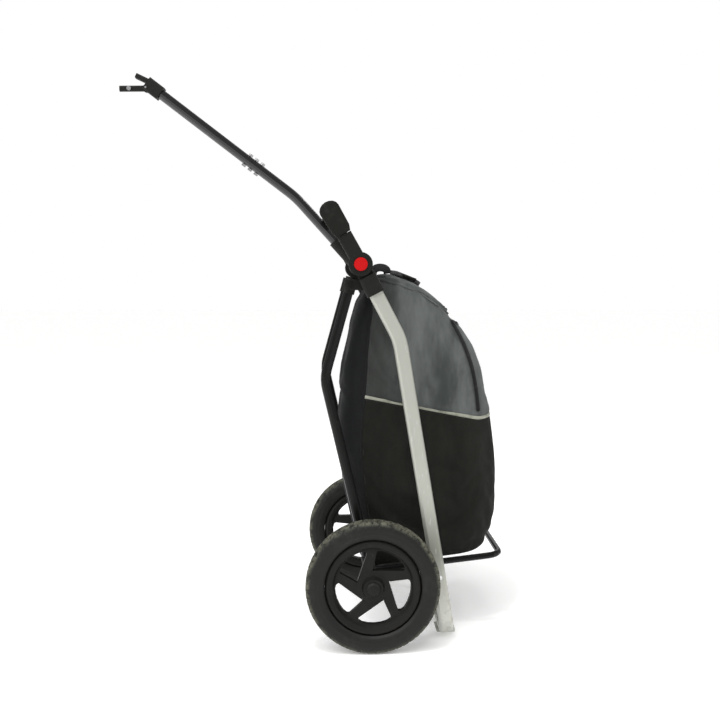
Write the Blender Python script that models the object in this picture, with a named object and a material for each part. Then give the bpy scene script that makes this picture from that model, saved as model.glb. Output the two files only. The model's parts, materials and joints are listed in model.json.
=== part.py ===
"""Two-wheeled shopping trolley: soft bag on a folding A-frame cart, with a towing drawbar.

Metres, +Z up. +X points to the front of the bag, the drawbar runs towards -X, and the
object is symmetric about the plane Y = 0. Left is -Y, seen by someone pulling it.
Everything is laid out from the wheel axle (X = 0) and moved at the end, so that the
origin lies on the ground under the middle of the bounding box.
"""
import bmesh
import bpy
from math import cos, pi, radians, sin, tan
from mathutils import Matrix, Vector

# fits
GAP = 0.0003                      # between pieces that touch
TURN_GAP = 0.0005                 # between pieces that turn in each other
# wheels
WHEEL_R = 0.145
TYRE_W = 0.044
TYRE_SEAT_R = 0.1045
RIM_LIP_R = 0.1076
RIM_W = 0.034
RIM_INNER_R = 0.0835
WINDOW_IN, WINDOW_OUT = 0.0362, 0.0815
WEB_T = 0.014
HUB_R = 0.021
HUB_W = 0.046
SPOKES = 5
BEARING_R = 0.0130
BEARING_W = 0.008
CAP_R = 0.0165
# axle
AXLE_Z = WHEEL_R
AXLE_ROD_R = 0.005
AXLE_TUBE_R = 0.0075
# silver U-tube
TUBE_FACE = 0.032
TUBE_THICK = 0.016
TUBE_WALL = 0.0018
TUBE_Y = 0.190
WHEEL_Y = TUBE_Y + TUBE_THICK / 2 + TYRE_W / 2 + 0.030   # middle plane of each wheel
TUBE_KINK = (0.0608, 0.672)       # X, Z of the bend below the sockets
TUBE_LEAN = radians(9.5)          # lower part, from vertical
TUBE_TOP_LEAN = radians(26.5)
TUBE_BEND_R = 0.14
FOOT_BEND_R = 0.050
PAD_T = 0.003                     # sole of the foot pads
PAD_W = 0.042
# joints at the top
HUB_X, HUB_Z = -0.0245, 0.835
HUB_DISC_R = 0.0260
SOCKET_WALL = 0.004
SOCKET_REACH = 0.072              # from the hub down the tube
TUBE_IN_SOCKET = 0.036
CROSS_R = 0.010
CROSS_WALL = 0.0015
BUTTON_R = 0.0145
BUTTON_TRAVEL = 0.004
BUTTON_PROUD = 0.0045
# rear legs
LEG_R = 0.011
LEG_WALL = 0.0015
LEG_Y = TUBE_Y - 0.030
PIVOT_X, PIVOT_Z = -0.0461, 0.7916
LEG_KINK = (-0.1032, 0.5855)
LEG_BEND_R = 0.09
SLEEVE_R = 0.0138
SLEEVE_L = 0.036
PIVOT_BOLT_R = 0.003
BRACKET_R = 0.0138
# tray
ROD_R = 0.007
ROD_Y = LEG_Y - 0.0265
TRAY_REACH = 0.305                # axle to the outside of the front rod, along the tray
TRAY_DIP = 0.0020                  # how far the tray rods sink over the cross tube while the legs fold
TRAY_TILT = radians(6.7)
TRAY_BEND_R = 0.028
EYE_R = 0.0105
EYE_W = 0.018
TRAY_BAR_R = 0.007
# handle
ARM_W = 0.033
ARM_T = 0.012
ARM_REACH = 0.0735
ARM_LEAN = radians(119.5)         # direction from the hub, from +X
GRIP_LEAN = radians(121.0)
GRIP_END_L = 0.078
GRIP_END_W = 0.045
GRIP_END_T = 0.022
GRIP_CORE_R = 0.009
GRIP_R = 0.0130
GRIP_ALONG = 0.054                # grip bar from the foot of the grip end
GRIP_ASIDE = 0.0070
SPIGOT = (0.016, 0.008, 0.022)    # width, thickness, length of the tongue in the grip end
# drawbar
BAR_R = 0.0116
BAR_WALL = 0.0016
BAR_LOW = radians(132.1)          # direction from the hub, from +X
BAR_HIGH = radians(142.8)
BAR_KINK = 0.2147                 # hub to the bend
BAR_BEND_R = 0.22
BAR_UPPER = 0.412                 # bend to the hitch end
BAR_START = 0.019
COLLAR_R = 0.0155
COLLAR_REACH = 0.080
TEE_R = 0.0150
TEE_W = 0.062
SPLICE_AT = 0.130                 # bend to the joint of the two tubes
SPLICE_L = 0.090
BOLT_PITCH = 0.0172
BOLT_R = 0.0028
BOLT_HEAD_R = 0.0052
# hitch
BLOCK_L, BLOCK_H, BLOCK_W = 0.040, 0.031, 0.030
JAW_L = 0.034                     # fixed upper jaw
JAW_REACH = 0.062                 # hinged lower jaw, from its pin
JAW_ANGLE = radians(38)           # lower jaw from the bar's line, open
# bag
BAG_HALF = 0.1425
BAG_WALL = 0.004
BAG_BACK_R = 0.030
BAG_FRONT_R = 0.066
BAG_CLEAR = 0.0095                # bottom above the tray's rod line
BOARD_T = 0.003
PIPE_T = 0.0024
PIPE_W = 0.008
STRAP_W = 0.025
STRAP_T = 0.002
STRAP_Y = -0.052
STRAP_FROM, STRAP_TO = 0.28, 0.66
LOOP_FROM, LOOP_TO, LOOP_RISE = 0.07, 0.27, 0.024
PIPE_BACK, PIPE_FRONT = 0.72, 0.10  # height of the piping in its level, at the back and at the front corner
PIPE_CORNER = 0.90                # where that corner is, as a share of the bag's length
RIM_ARCH = 0.027                  # rise of the rim and lid between back and front
LID_T = 0.006

for item in list(bpy.data.objects):
    bpy.data.objects.remove(item, do_unlink=True)
scene = bpy.context.scene


def material(name, colour, rough, metal=0.0):
    mat = bpy.data.materials.get(name)
    if mat is None:
        mat = bpy.data.materials.new(name)
        mat.use_nodes = True
        node = mat.node_tree.nodes["Principled BSDF"]
        node.inputs["Base Color"].default_value = (*colour, 1.0)
        node.inputs["Roughness"].default_value = rough
        node.inputs["Metallic"].default_value = metal
    return mat


SILVER = (0.62, 0.63, 0.65)
BLACK = (0.02, 0.02, 0.022)


def put(name, bm, colour, rough, metal=0.0, smooth=True, origin=(0, 0, 0)):
    """Finish a bmesh as a named object with its own material and its origin at origin."""
    bmesh.ops.remove_doubles(bm, verts=bm.verts, dist=1e-6)
    bmesh.ops.recalc_face_normals(bm, faces=bm.faces)
    mesh = bpy.data.meshes.new(name)
    shift = Vector(origin)
    bmesh.ops.translate(bm, verts=bm.verts, vec=-shift)
    bm.to_mesh(mesh)
    bm.free()
    mesh.materials.append(material(name, colour, rough, metal))
    obj = bpy.data.objects.new(name, mesh)
    obj.location = shift
    scene.collection.objects.link(obj)
    if smooth:
        mesh.shade_smooth()
        mesh.set_sharp_from_angle(angle=radians(35))
    return obj


def at(x, y, z):
    return Vector((x, y, z))


Z_UP = Vector((0, 0, 1))


def direction(angle):
    """Unit vector in the XZ plane, angle from +X towards +Z."""
    return Vector((cos(angle), 0.0, sin(angle)))


# ---- paths and sweeps ---------------------------------------------------------------
def rounded(points, radii, steps):
    """Polyline with each inner corner replaced by an arc of its radius."""
    out = [points[0]]
    for i in range(1, len(points) - 1):
        before, corner, after = points[i - 1], points[i], points[i + 1]
        a = (before - corner).normalized()
        b = (after - corner).normalized()
        half = a.angle(b) / 2
        run = radii[i - 1] / tan(half)
        centre = corner + (a + b).normalized() * (radii[i - 1] / sin(half))
        start = corner + a * run - centre
        turn = pi - 2 * half
        axis = a.cross(b).normalized() * -1
        for k in range(steps + 1):
            out.append(centre + Matrix.Rotation(turn * k / steps, 3, axis) @ start)
    out.append(points[-1])
    return out


def frames(path, side):
    """Tangent, side and up vectors along the path, carried without twist."""
    out = []
    s = Vector(side)
    for i, point in enumerate(path):
        if i == 0:
            t = path[1] - path[0]
        elif i == len(path) - 1:
            t = path[-1] - path[-2]
        else:
            t = (path[i + 1] - point).normalized() + (point - path[i - 1]).normalized()
        t.normalize()
        s = (s - t * s.dot(t)).normalized()
        out.append((point, t, s, t.cross(s)))
    return out


def ringAt(bm, frame, section):
    point, t, s, u = frame
    return [bm.verts.new(point + s * a + u * b) for a, b in section]


def bridge(bm, one, two):
    n = len(one)
    for i in range(n):
        j = (i + 1) % n
        bm.faces.new((one[i], one[j], two[j], two[i]))


def circle(radius, sides, start=0.0):
    return [(radius * cos(start + 2 * pi * k / sides), radius * sin(start + 2 * pi * k / sides))
            for k in range(sides)]


def roundRect(width, height, radius, steps=2):
    out = []
    for cx, cy, a0 in ((1, 1, 0), (-1, 1, 90), (-1, -1, 180), (1, -1, 270)):
        for k in range(steps + 1):
            a = radians(a0 + 90 * k / steps)
            out.append((cx * (width / 2 - radius) + radius * cos(a),
                        cy * (height / 2 - radius) + radius * sin(a)))
    return out


def sweep(path, section, side=(0, 1, 0), inner=None):
    """Solid, or with an inner section an open-ended tube."""
    bm = bmesh.new()
    fr = frames(path, side)
    outer = [ringAt(bm, f, section) for f in fr]
    for a, b in zip(outer, outer[1:]):
        bridge(bm, a, b)
    if inner is None:
        bm.faces.new(outer[0])
        bm.faces.new(outer[-1])
    else:
        inside = [ringAt(bm, f, inner) for f in fr]
        for a, b in zip(inside, inside[1:]):
            bridge(bm, a, b)
        bridge(bm, outer[0], inside[0])
        bridge(bm, outer[-1], inside[-1])
    return bm


def pipe(path, radius, wall, sides=12, side=(0, 1, 0)):
    return sweep(path, circle(radius, sides), side, circle(radius - wall, sides))


def turned(profile, sides, centre, y0=0.0):
    """Body of revolution about the Y axis through centre; profile is a closed (r, y) loop."""
    bm = bmesh.new()
    rings = []
    for k in range(sides):
        a = 2 * pi * k / sides
        rings.append([bm.verts.new((centre[0] + r * cos(a), y0 + y, centre[1] + r * sin(a)))
                      for r, y in profile])
    for k in range(sides):
        bridge(bm, rings[k], rings[(k + 1) % sides])
    return bm


def plate(outline, y0, y1):
    """Prism between y0 and y1 on an (x, z) outline."""
    bm = bmesh.new()
    one = [bm.verts.new((x, y0, z)) for x, z in outline]
    two = [bm.verts.new((x, y1, z)) for x, z in outline]
    bridge(bm, one, two)
    bm.faces.new(one)
    bm.faces.new(two)
    return bm


def disc(centre, radius, y0, y1, sides=24):
    return plate([(centre[0] + a, centre[1] + b) for a, b in circle(radius, sides)], y0, y1)


def rod(start, end, radius, sides=12, side=(0, 1, 0)):
    return sweep([Vector(start), Vector(end)], circle(radius, sides, pi / sides), side)


def slab(start, end, width, thick, side=(0, 1, 0), radius=0.002):
    """Rounded bar from start to end; thick runs along side."""
    return sweep([Vector(start), Vector(end)], roundRect(thick, width, radius), side)


def cutter(bm):
    mesh = bpy.data.meshes.new("cut")
    bmesh.ops.recalc_face_normals(bm, faces=bm.faces)
    bm.to_mesh(mesh)
    bm.free()
    obj = bpy.data.objects.new("cut", mesh)
    scene.collection.objects.link(obj)
    obj.hide_render = True
    obj.display_type = "WIRE"
    return obj


def combine(obj, steps):
    """Apply a list of (operation, bmesh) to obj and drop the helpers."""
    for kind, bm in steps:
        tool = cutter(bm)
        tool.location = (0, 0, 0)
        mod = obj.modifiers.new("b", "BOOLEAN")
        mod.operation = kind
        mod.solver = "EXACT"
        mod.object = tool
        bpy.context.view_layer.update()
        done = bpy.data.meshes.new_from_object(obj.evaluated_get(
            bpy.context.evaluated_depsgraph_get()))
        obj.modifiers.clear()
        old = obj.data
        name = old.name
        obj.data = done
        bpy.data.meshes.remove(old)
        done.name = name
        bpy.data.objects.remove(tool, do_unlink=True)
    bm = bmesh.new()
    bm.from_mesh(obj.data)
    bmesh.ops.remove_doubles(bm, verts=bm.verts, dist=2e-6)
    bmesh.ops.dissolve_degenerate(bm, edges=bm.edges, dist=2e-6)
    bm.to_mesh(obj.data)
    bm.free()
    obj.data.shade_smooth()
    obj.data.set_sharp_from_angle(angle=radians(35))
    return obj


def side(name, s):
    return name + ("_left" if s < 0 else "_right")


def span(s, a, b):
    """Y range on side s, given as distances from the middle plane."""
    return (s * a, s * b) if s > 0 else (s * b, s * a)


# ---- shared geometry ----------------------------------------------------------------
hub = at(HUB_X, 0, HUB_Z)
pivot = at(PIVOT_X, 0, PIVOT_Z)
axle = at(0, 0, AXLE_Z)
tubeDown = direction(-pi / 2 + TUBE_LEAN)
kink = at(TUBE_KINK[0], 0, TUBE_KINK[1])
footZ = PAD_T + GAP + TUBE_THICK / 2 + TUBE_FACE / 2 * sin(TUBE_LEAN)
foot = kink + tubeDown * ((TUBE_KINK[1] - footZ) / cos(TUBE_LEAN))
tubeUp = (hub - kink).normalized()
tubeTop = hub - tubeUp * TUBE_IN_SOCKET
trayDir = direction(TRAY_TILT)
trayUp = direction(TRAY_TILT + pi / 2)
legDown = (axle - at(LEG_KINK[0], 0, LEG_KINK[1])).normalized()
legTopDir = (pivot - at(LEG_KINK[0], 0, LEG_KINK[1])).normalized()
lowDir, highDir = direction(BAR_LOW), direction(BAR_HIGH)
barKink = hub + lowDir * BAR_KINK
barEnd = barKink + highDir * BAR_UPPER
armDir = direction(ARM_LEAN)
gripDir = direction(GRIP_LEAN)
gripSide = direction(GRIP_LEAN - pi / 2)
gripFoot = hub + armDir * ARM_REACH
gripBar = gripFoot + gripDir * GRIP_ALONG + gripSide * GRIP_ASIDE
socketIn = TUBE_Y - TUBE_THICK / 2 - SOCKET_WALL       # Y of the socket's inner face
socketOut = TUBE_Y + TUBE_THICK / 2 + SOCKET_WALL


def shifted(vec, y):
    return Vector((vec.x, y, vec.z))


# ---- silver U-tube, sockets, cross members -------------------------------------------
uPath = rounded(
    [shifted(tubeTop, -TUBE_Y), shifted(kink, -TUBE_Y), shifted(foot, -TUBE_Y),
     shifted(foot, TUBE_Y), shifted(kink, TUBE_Y), shifted(tubeTop, TUBE_Y)],
    [TUBE_BEND_R, FOOT_BEND_R, FOOT_BEND_R, TUBE_BEND_R], 5)
# the first side vector is Y, so the section's first axis is its thickness
put("frame_tube", sweep(uPath, roundRect(TUBE_THICK, TUBE_FACE, 0.0065, 2), (0, 1, 0),
                        roundRect(TUBE_THICK - 2 * TUBE_WALL, TUBE_FACE - 2 * TUBE_WALL,
                                  0.0065 - TUBE_WALL, 2)), SILVER, 0.3, 1.0)

for s in (-1, 1):
    # foot pad: a block under each end of the foot bar, seated against its flat underside
    y0, y1 = span(s, 0.075, 0.135)
    across = direction(TUBE_LEAN)
    low = foot + tubeDown * (TUBE_THICK / 2 + GAP)
    a, b = low - across * PAD_W / 2, low + across * PAD_W / 2
    put(side("foot_pad", s), plate([(a.x, a.z), (b.x, b.z), (b.x, 0.0), (a.x, 0.0)], y0, y1),
        BLACK, 0.7, smooth=False)

    # socket: inner disc at the hub, sleeve over the tube, lug to the leg pivot
    discY = span(s, socketIn, TUBE_Y)
    body = disc((HUB_X, HUB_Z), HUB_DISC_R, *discY)
    obj = put(side("joint_socket", s), body, BLACK, 0.45)
    end = hub - tubeUp * SOCKET_REACH
    near = hub - tubeUp * (HUB_DISC_R + 0.0035)
    wide = TUBE_FACE + 2 * SOCKET_WALL
    full = span(s, socketIn, socketOut)
    mid = (full[0] + full[1]) / 2
    sleeve = slab(shifted(near, mid), shifted(end, mid), wide, socketOut - socketIn,
                  (0, 1, 0), 0.006)
    webY = (discY[0] + discY[1]) / 2
    web = slab(shifted(hub + tubeUp * 0.002, webY), shifted(near - tubeUp * 0.014, webY),
               wide - 0.003, TUBE_Y - socketIn - 0.001, (0, 1, 0), 0.003)
    lugY = span(s, LEG_Y + LEG_R + 0.0035, socketIn + 0.003)
    lugEnd = hub - tubeUp * (SOCKET_REACH - 0.022)
    lug = slab(shifted(pivot - (lugEnd - pivot).normalized() * 0.011, (lugY[0] + lugY[1]) / 2),
               shifted(lugEnd, (lugY[0] + lugY[1]) / 2), 0.024, abs(lugY[1] - lugY[0]),
               (0, 1, 0), 0.0015)
    bore = sweep([shifted(tubeTop + tubeUp * GAP, s * TUBE_Y), shifted(end - tubeUp * 0.02, s * TUBE_Y)],
                 roundRect(TUBE_THICK + 2 * GAP, TUBE_FACE + 2 * GAP, 0.0065 + GAP, 2))
    boltHole = disc((PIVOT_X, PIVOT_Z), PIVOT_BOLT_R + TURN_GAP, *span(s, LEG_Y - 0.01, TUBE_Y + 0.06), sides=12)
    combine(obj, [("UNION", sleeve), ("UNION", web), ("UNION", lug), ("DIFFERENCE", bore),
                  ("DIFFERENCE", boltHole)])

crossHalf = socketIn - GAP
put("top_crossbar", pipe([at(HUB_X, -crossHalf, HUB_Z), at(HUB_X, crossHalf, HUB_Z)], CROSS_R,
                         CROSS_WALL, 16, (1, 0, 0)), BLACK, 0.35)

# tray cross tube between the silver legs, just under the tray rods
barUnder = 0.1515
barX = kink.x + (kink.z - barUnder) * tan(TUBE_LEAN)
rodLine = axle + trayDir * (barX / cos(TRAY_TILT))
trayBarC = rodLine - trayUp * (ROD_R + TRAY_BAR_R + TURN_GAP + TRAY_DIP)
innerFace = TUBE_Y - TUBE_THICK / 2 - GAP
put("tray_support", pipe([shifted(trayBarC, -innerFace), shifted(trayBarC, innerFace)], TRAY_BAR_R,
                         0.0015, 12, (1, 0, 0)), SILVER, 0.35, 1.0)
for s in (-1, 1):
    # rivet that holds the cross tube's end, on the outside of the leg
    y = span(s, TUBE_Y + TUBE_THICK / 2 + GAP, TUBE_Y + TUBE_THICK / 2 + 0.0022)
    put(side("support_rivet", s), disc((trayBarC.x, trayBarC.z), 0.0055, *y, sides=16),
        SILVER, 0.3, 1.0)

# ---- drawbar socket on the crossbar ---------------------------------------------------
obj = put("drawbar_socket", plate([(HUB_X + a, HUB_Z + b) for a, b in circle(TEE_R, 24)],
                                  -TEE_W / 2, TEE_W / 2), BLACK, 0.4)
combine(obj, [
    ("UNION", rod(hub, hub + lowDir * COLLAR_REACH, COLLAR_R, 24)),
    ("DIFFERENCE", disc((HUB_X, HUB_Z), CROSS_R + GAP, -TEE_W, TEE_W, 16)),
    ("DIFFERENCE", rod(hub + lowDir * (BAR_START - 0.001), hub + lowDir * 0.2, BAR_R + GAP, 16)),
])
screwAt = hub + lowDir * (COLLAR_REACH - 0.018)
put("clamp_screw", rod(screwAt + at(0, COLLAR_R + GAP, 0), screwAt + at(0, COLLAR_R + 0.006, 0),
                       0.0055, 12, (1, 0, 0)), SILVER, 0.3, 1.0)

# ---- rear legs -------------------------------------------------------------------------
sleeveTop = pivot + legTopDir * 0.012
for s in (-1, 1):
    y = s * LEG_Y
    legEnd = axle - legDown * (AXLE_TUBE_R + 0.004)
    path = rounded([shifted(pivot + legTopDir * 0.010, y), at(LEG_KINK[0], y, LEG_KINK[1]),
                    shifted(legEnd, y)], [LEG_BEND_R], 5)
    leg = put(side("rear_leg", s), pipe(path, LEG_R, LEG_WALL, 12), BLACK, 0.35)
    combine(leg, [("DIFFERENCE", disc((PIVOT_X, PIVOT_Z), PIVOT_BOLT_R + GAP,
                                      *span(s, LEG_Y - 0.03, LEG_Y + 0.06), sides=12))])
    # moulded end sleeve over the leg's top
    cap = put(side("leg_cap", s), rod(shifted(pivot + legTopDir * 0.016, y),
                                      shifted(pivot - legTopDir * (SLEEVE_L - 0.016), y),
                                      SLEEVE_R, 18), BLACK, 0.5)
    combine(cap, [("DIFFERENCE", rod(shifted(pivot + legTopDir * (0.010 + GAP), y),
                                     shifted(pivot - legTopDir * SLEEVE_L, y), LEG_R + GAP, 14)),
                  ("DIFFERENCE", disc((PIVOT_X, PIVOT_Z), PIVOT_BOLT_R + GAP,
                                      *span(s, LEG_Y - 0.03, LEG_Y + 0.06), sides=12))])
    # shoulder bolt through lug and leg, with a head on each end
    bolt = put(side("pivot_bolt", s), disc((PIVOT_X, PIVOT_Z), PIVOT_BOLT_R,
                                           *span(s, LEG_Y - SLEEVE_R - 0.003, socketIn + 0.0045), 12),
               SILVER, 0.25, 1.0)
    inHead = span(s, LEG_Y - SLEEVE_R - 0.003, LEG_Y - SLEEVE_R - GAP)
    outHead = span(s, socketIn + 0.003 + GAP, socketIn + 0.0065)
    combine(bolt, [("UNION", disc((PIVOT_X, PIVOT_Z), 0.0056, *inHead, 16)),
                   ("UNION", disc((PIVOT_X, PIVOT_Z), 0.0060, *outHead, 16))])
    # bracket that joins leg and axle tube
    brY = span(s, LEG_Y - LEG_R - 0.002, LEG_Y + LEG_R + 0.002)
    br = put(side("axle_bracket", s), disc((0, AXLE_Z), BRACKET_R, *brY), BLACK, 0.5)
    combine(br, [("UNION", rod(shifted(axle, y), shifted(axle - legDown * 0.042, y), BRACKET_R, 18)),
                 ("DIFFERENCE", disc((0, AXLE_Z), AXLE_TUBE_R + GAP, *span(s, LEG_Y - 0.06, LEG_Y + 0.04), 16)),
                 ("DIFFERENCE", rod(shifted(axle - legDown * (AXLE_TUBE_R + 0.004 - GAP), y),
                                    shifted(axle - legDown * 0.08, y), LEG_R + GAP, 14))])

tubeHalf = WHEEL_Y - HUB_W / 2 - 0.001
put("axle_tube", pipe([at(0, -tubeHalf, AXLE_Z), at(0, tubeHalf, AXLE_Z)], AXLE_TUBE_R,
                      AXLE_TUBE_R - AXLE_ROD_R - GAP, 16, (1, 0, 0)), BLACK, 0.35)
rodHalf = WHEEL_Y + HUB_W / 2 + 0.001
put("axle_rod", rod(at(0, -rodHalf, AXLE_Z), at(0, rodHalf, AXLE_Z), AXLE_ROD_R, 16, (1, 0, 0)),
    SILVER, 0.3, 1.0)

# ---- tray ------------------------------------------------------------------------------
front = axle + trayDir * (TRAY_REACH - ROD_R)
start = axle + trayDir * (EYE_R - 0.002)
trayPath = rounded([shifted(start, -ROD_Y), shifted(front, -ROD_Y), shifted(front, ROD_Y),
                    shifted(start, ROD_Y)], [TRAY_BEND_R, TRAY_BEND_R], 4)
tray = put("tray_loop", sweep(trayPath, circle(ROD_R, 10)), BLACK, 0.35)
eyes = []
for s in (-1, 1):
    eyeY = span(s, ROD_Y - EYE_W / 2, ROD_Y + EYE_W / 2)
    eyes.append(("UNION", disc((0, AXLE_Z), EYE_R, *eyeY, 20)))
    eyes.append(("DIFFERENCE", disc((0, AXLE_Z), AXLE_TUBE_R + TURN_GAP,
                                    *span(s, ROD_Y - EYE_W, ROD_Y + EYE_W), 16)))
combine(tray, eyes)

# ---- wheels ----------------------------------------------------------------------------
def tyreProfile():
    """Closed (r, y) loop of the tyre, wrapped on its seat."""
    out = []
    deep = WHEEL_R - TYRE_SEAT_R
    mid = WHEEL_R - deep * 0.52
    for k in range(13):
        a = radians(-35 + 250 * k / 12)
        w = TYRE_W / 2
        h = deep * 0.52
        squash = 0.86
        y = w * (abs(cos(a)) ** squash) * (1 if cos(a) > 0 else -1)
        r = mid + h * (abs(sin(a)) ** squash) * (1 if sin(a) > 0 else -1)
        out.append((r, y))
    half = RIM_W / 2 - 0.005
    out.append((TYRE_SEAT_R, -half))
    out.append((TYRE_SEAT_R, half))
    return out


def rimProfile():
    """Closed (r, y) loop: hub, thin web, rim channel under the tyre."""
    h, w, r = HUB_W / 2, WEB_T / 2, RIM_W / 2
    seat = TYRE_SEAT_R - GAP
    near = [(BEARING_R + GAP, h), (HUB_R, h), (HUB_R + 0.004, w + 0.002), (HUB_R + 0.012, w),
            (RIM_INNER_R, w), (RIM_INNER_R + 0.0045, r - 0.003), (seat - 0.008, r),
            (seat - 0.0042, r - 0.001), (seat, r - 0.0065)]
    return near + [(a, -b) for a, b in reversed(near)]


def windowOutline(base, turn):
    """Three-cornered opening between two spokes, its inner corner swept ahead of the outer arc."""
    corners = [(WINDOW_IN, 21.5), (WINDOW_IN + 0.0023, 18.8), (WINDOW_OUT - 0.0050, 12.5), (WINDOW_OUT - 0.0015, 10)]
    corners += [(WINDOW_OUT, 3 - 38 * k / 4) for k in range(5)]
    corners += [(WINDOW_OUT - 0.0020, -40.5), (WINDOW_OUT - 0.0060, -43.5), (WINDOW_OUT - 0.0090, -43)]
    out = []
    for r, a in corners:
        ang = base + turn * radians(a)
        out.append((r * cos(ang), AXLE_Z + r * sin(ang)))
    return out


for s in (-1, 1):
    y = s * WHEEL_Y
    turn = 1 if s < 0 else -1
    rim = put(side("wheel_rim", s), turned(rimProfile(), 40, (0, AXLE_Z), y), BLACK, 0.4,
              origin=(0, y, AXLE_Z))
    rim.location = (0, 0, 0)
    rim.data.transform(Matrix.Translation((0, y, AXLE_Z)))
    cuts = []
    for k in range(SPOKES):
        base = radians(360 / SPOKES * k) if s < 0 else radians(180 - 360 / SPOKES * k)
        cuts.append(("DIFFERENCE", plate(windowOutline(base, turn), *span(s, WHEEL_Y - 0.05, WHEEL_Y + 0.05))))
    combine(rim, cuts)
    tyre = put(side("tyre", s), turned(tyreProfile(), 40, (0, AXLE_Z), y), (0.03, 0.03, 0.03), 0.85)
    for kind, off in (("inner", -1), ("outer", 1)):
        yb = s * (WHEEL_Y + off * (HUB_W / 2 - BEARING_W / 2 - 0.002))
        ring = [(AXLE_ROD_R + GAP, BEARING_W / 2), (BEARING_R, BEARING_W / 2),
                (BEARING_R, -BEARING_W / 2), (AXLE_ROD_R + GAP, -BEARING_W / 2)]
        put(side("bearing_" + kind, s), turned(ring, 20, (0, AXLE_Z), yb), SILVER, 0.25, 1.0)
    # domed hub cap over the rod's end
    y0 = WHEEL_Y + HUB_W / 2 + GAP
    dome = [(0.0, 0.0085), (0.006, 0.0080), (0.0115, 0.0062), (0.0150, 0.0032), (CAP_R, 0.0),
            (0.0085, 0.0), (0.0085, 0.0025), (0.0, 0.0045)]
    bm = bmesh.new()
    sides = 24
    rings = []
    for r, yy in dome[1:-1]:
        rings.append([bm.verts.new((r * cos(2 * pi * k / sides), s * (y0 + yy),
                                    AXLE_Z + r * sin(2 * pi * k / sides))) for k in range(sides)])
    for a, b in zip(rings, rings[1:]):
        bridge(bm, a, b)
    bm.faces.new(rings[0])
    bm.faces.new(rings[-1])
    put(side("hub_cap", s), bm, BLACK, 0.3)

# ---- handle ----------------------------------------------------------------------------
for s in (-1, 1):
    armY = span(s, TUBE_Y + TURN_GAP, TUBE_Y + TURN_GAP + ARM_T + 0.0015)
    arm = put(side("handle_arm", s), disc((HUB_X, HUB_Z), HUB_DISC_R, *armY), BLACK, 0.4)
    midY = (armY[0] + armY[1]) / 2
    skew = ARM_W / 2 * tan(abs(GRIP_LEAN - ARM_LEAN)) + GAP
    bar = slab(shifted(hub, midY), shifted(gripFoot - armDir * skew, midY), ARM_W, ARM_T,
               (0, 1, 0), 0.004)
    tongue = slab(shifted(gripFoot - gripDir * 0.008, midY),
                  shifted(gripFoot + gripDir * SPIGOT[2], midY), SPIGOT[0], SPIGOT[1], (0, 1, 0), 0.002)
    bore0 = TUBE_Y + TURN_GAP + ARM_T + 0.0015
    floor = bore0 + BUTTON_PROUD - BUTTON_TRAVEL - 0.0075
    combine(arm, [("UNION", bar), ("UNION", tongue),
                  ("DIFFERENCE", disc((HUB_X, HUB_Z), BUTTON_R + GAP, *span(s, floor, 0.25)))])
    btn = span(s, floor + BUTTON_TRAVEL + GAP, bore0 + BUTTON_PROUD)
    put(side("button", s), disc((HUB_X, HUB_Z), BUTTON_R, *btn), (0.6, 0.02, 0.02), 0.35)

    # rubber grip end: a rounded paddle with a pocket for the tongue and one for the grip bar
    padY = span(s, abs(midY) - GRIP_END_T / 2, abs(midY) + GRIP_END_T / 2)
    outline = []
    half = GRIP_END_W / 2
    for k in range(9):
        a = radians(180 * k / 8)
        p = gripFoot + gripDir * (GRIP_END_L - half * 0.8 + half * 0.8 * sin(a)) + gripSide * half * cos(a)
        outline.append((p.x, p.z))
    for da, db in ((0.012, -1.0), (0.0, -0.78), (0.0, 0.78), (0.012, 1.0)):
        p = gripFoot + gripDir * (da + GAP) + gripSide * half * 0.92 * db
        outline.append((p.x, p.z))
    pad = plate(outline, *padY)
    bmesh.ops.bevel(pad, geom=[e for e in pad.edges if abs(e.verts[0].co.y - e.verts[1].co.y) < 1e-6],
                    offset=0.004, segments=2, affect="EDGES", profile=0.5)
    obj = put(side("grip_end", s), pad, BLACK, 0.7)
    hole = slab(shifted(gripFoot - gripDir * 0.02, midY), shifted(gripFoot + gripDir * (SPIGOT[2] + GAP), midY),
                SPIGOT[0] + 2 * GAP, SPIGOT[1] + 2 * GAP, (0, 1, 0), 0.002 + GAP)
    inner = disc((gripBar.x, gripBar.z), GRIP_CORE_R + GAP,
                 *span(s, 0.15, abs(midY) - GRIP_END_T / 2 + 0.010), 16)
    combine(obj, [("DIFFERENCE", hole), ("DIFFERENCE", inner)])

handleMid = TUBE_Y + TURN_GAP + (ARM_T + 0.0015) / 2
coreHalf = handleMid - GRIP_END_T / 2 + 0.010 - GAP
put("grip_core", pipe([shifted(gripBar, -coreHalf), shifted(gripBar, coreHalf)], GRIP_CORE_R, 0.0015,
                      16, (1, 0, 0)), BLACK, 0.35)
sleeveHalf = handleMid - GRIP_END_T / 2 - GAP
put("grip_sleeve", pipe([shifted(gripBar, -sleeveHalf), shifted(gripBar, sleeveHalf)], GRIP_R,
                        GRIP_R - GRIP_CORE_R - GAP, 18, (1, 0, 0)), BLACK, 0.85)

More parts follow.
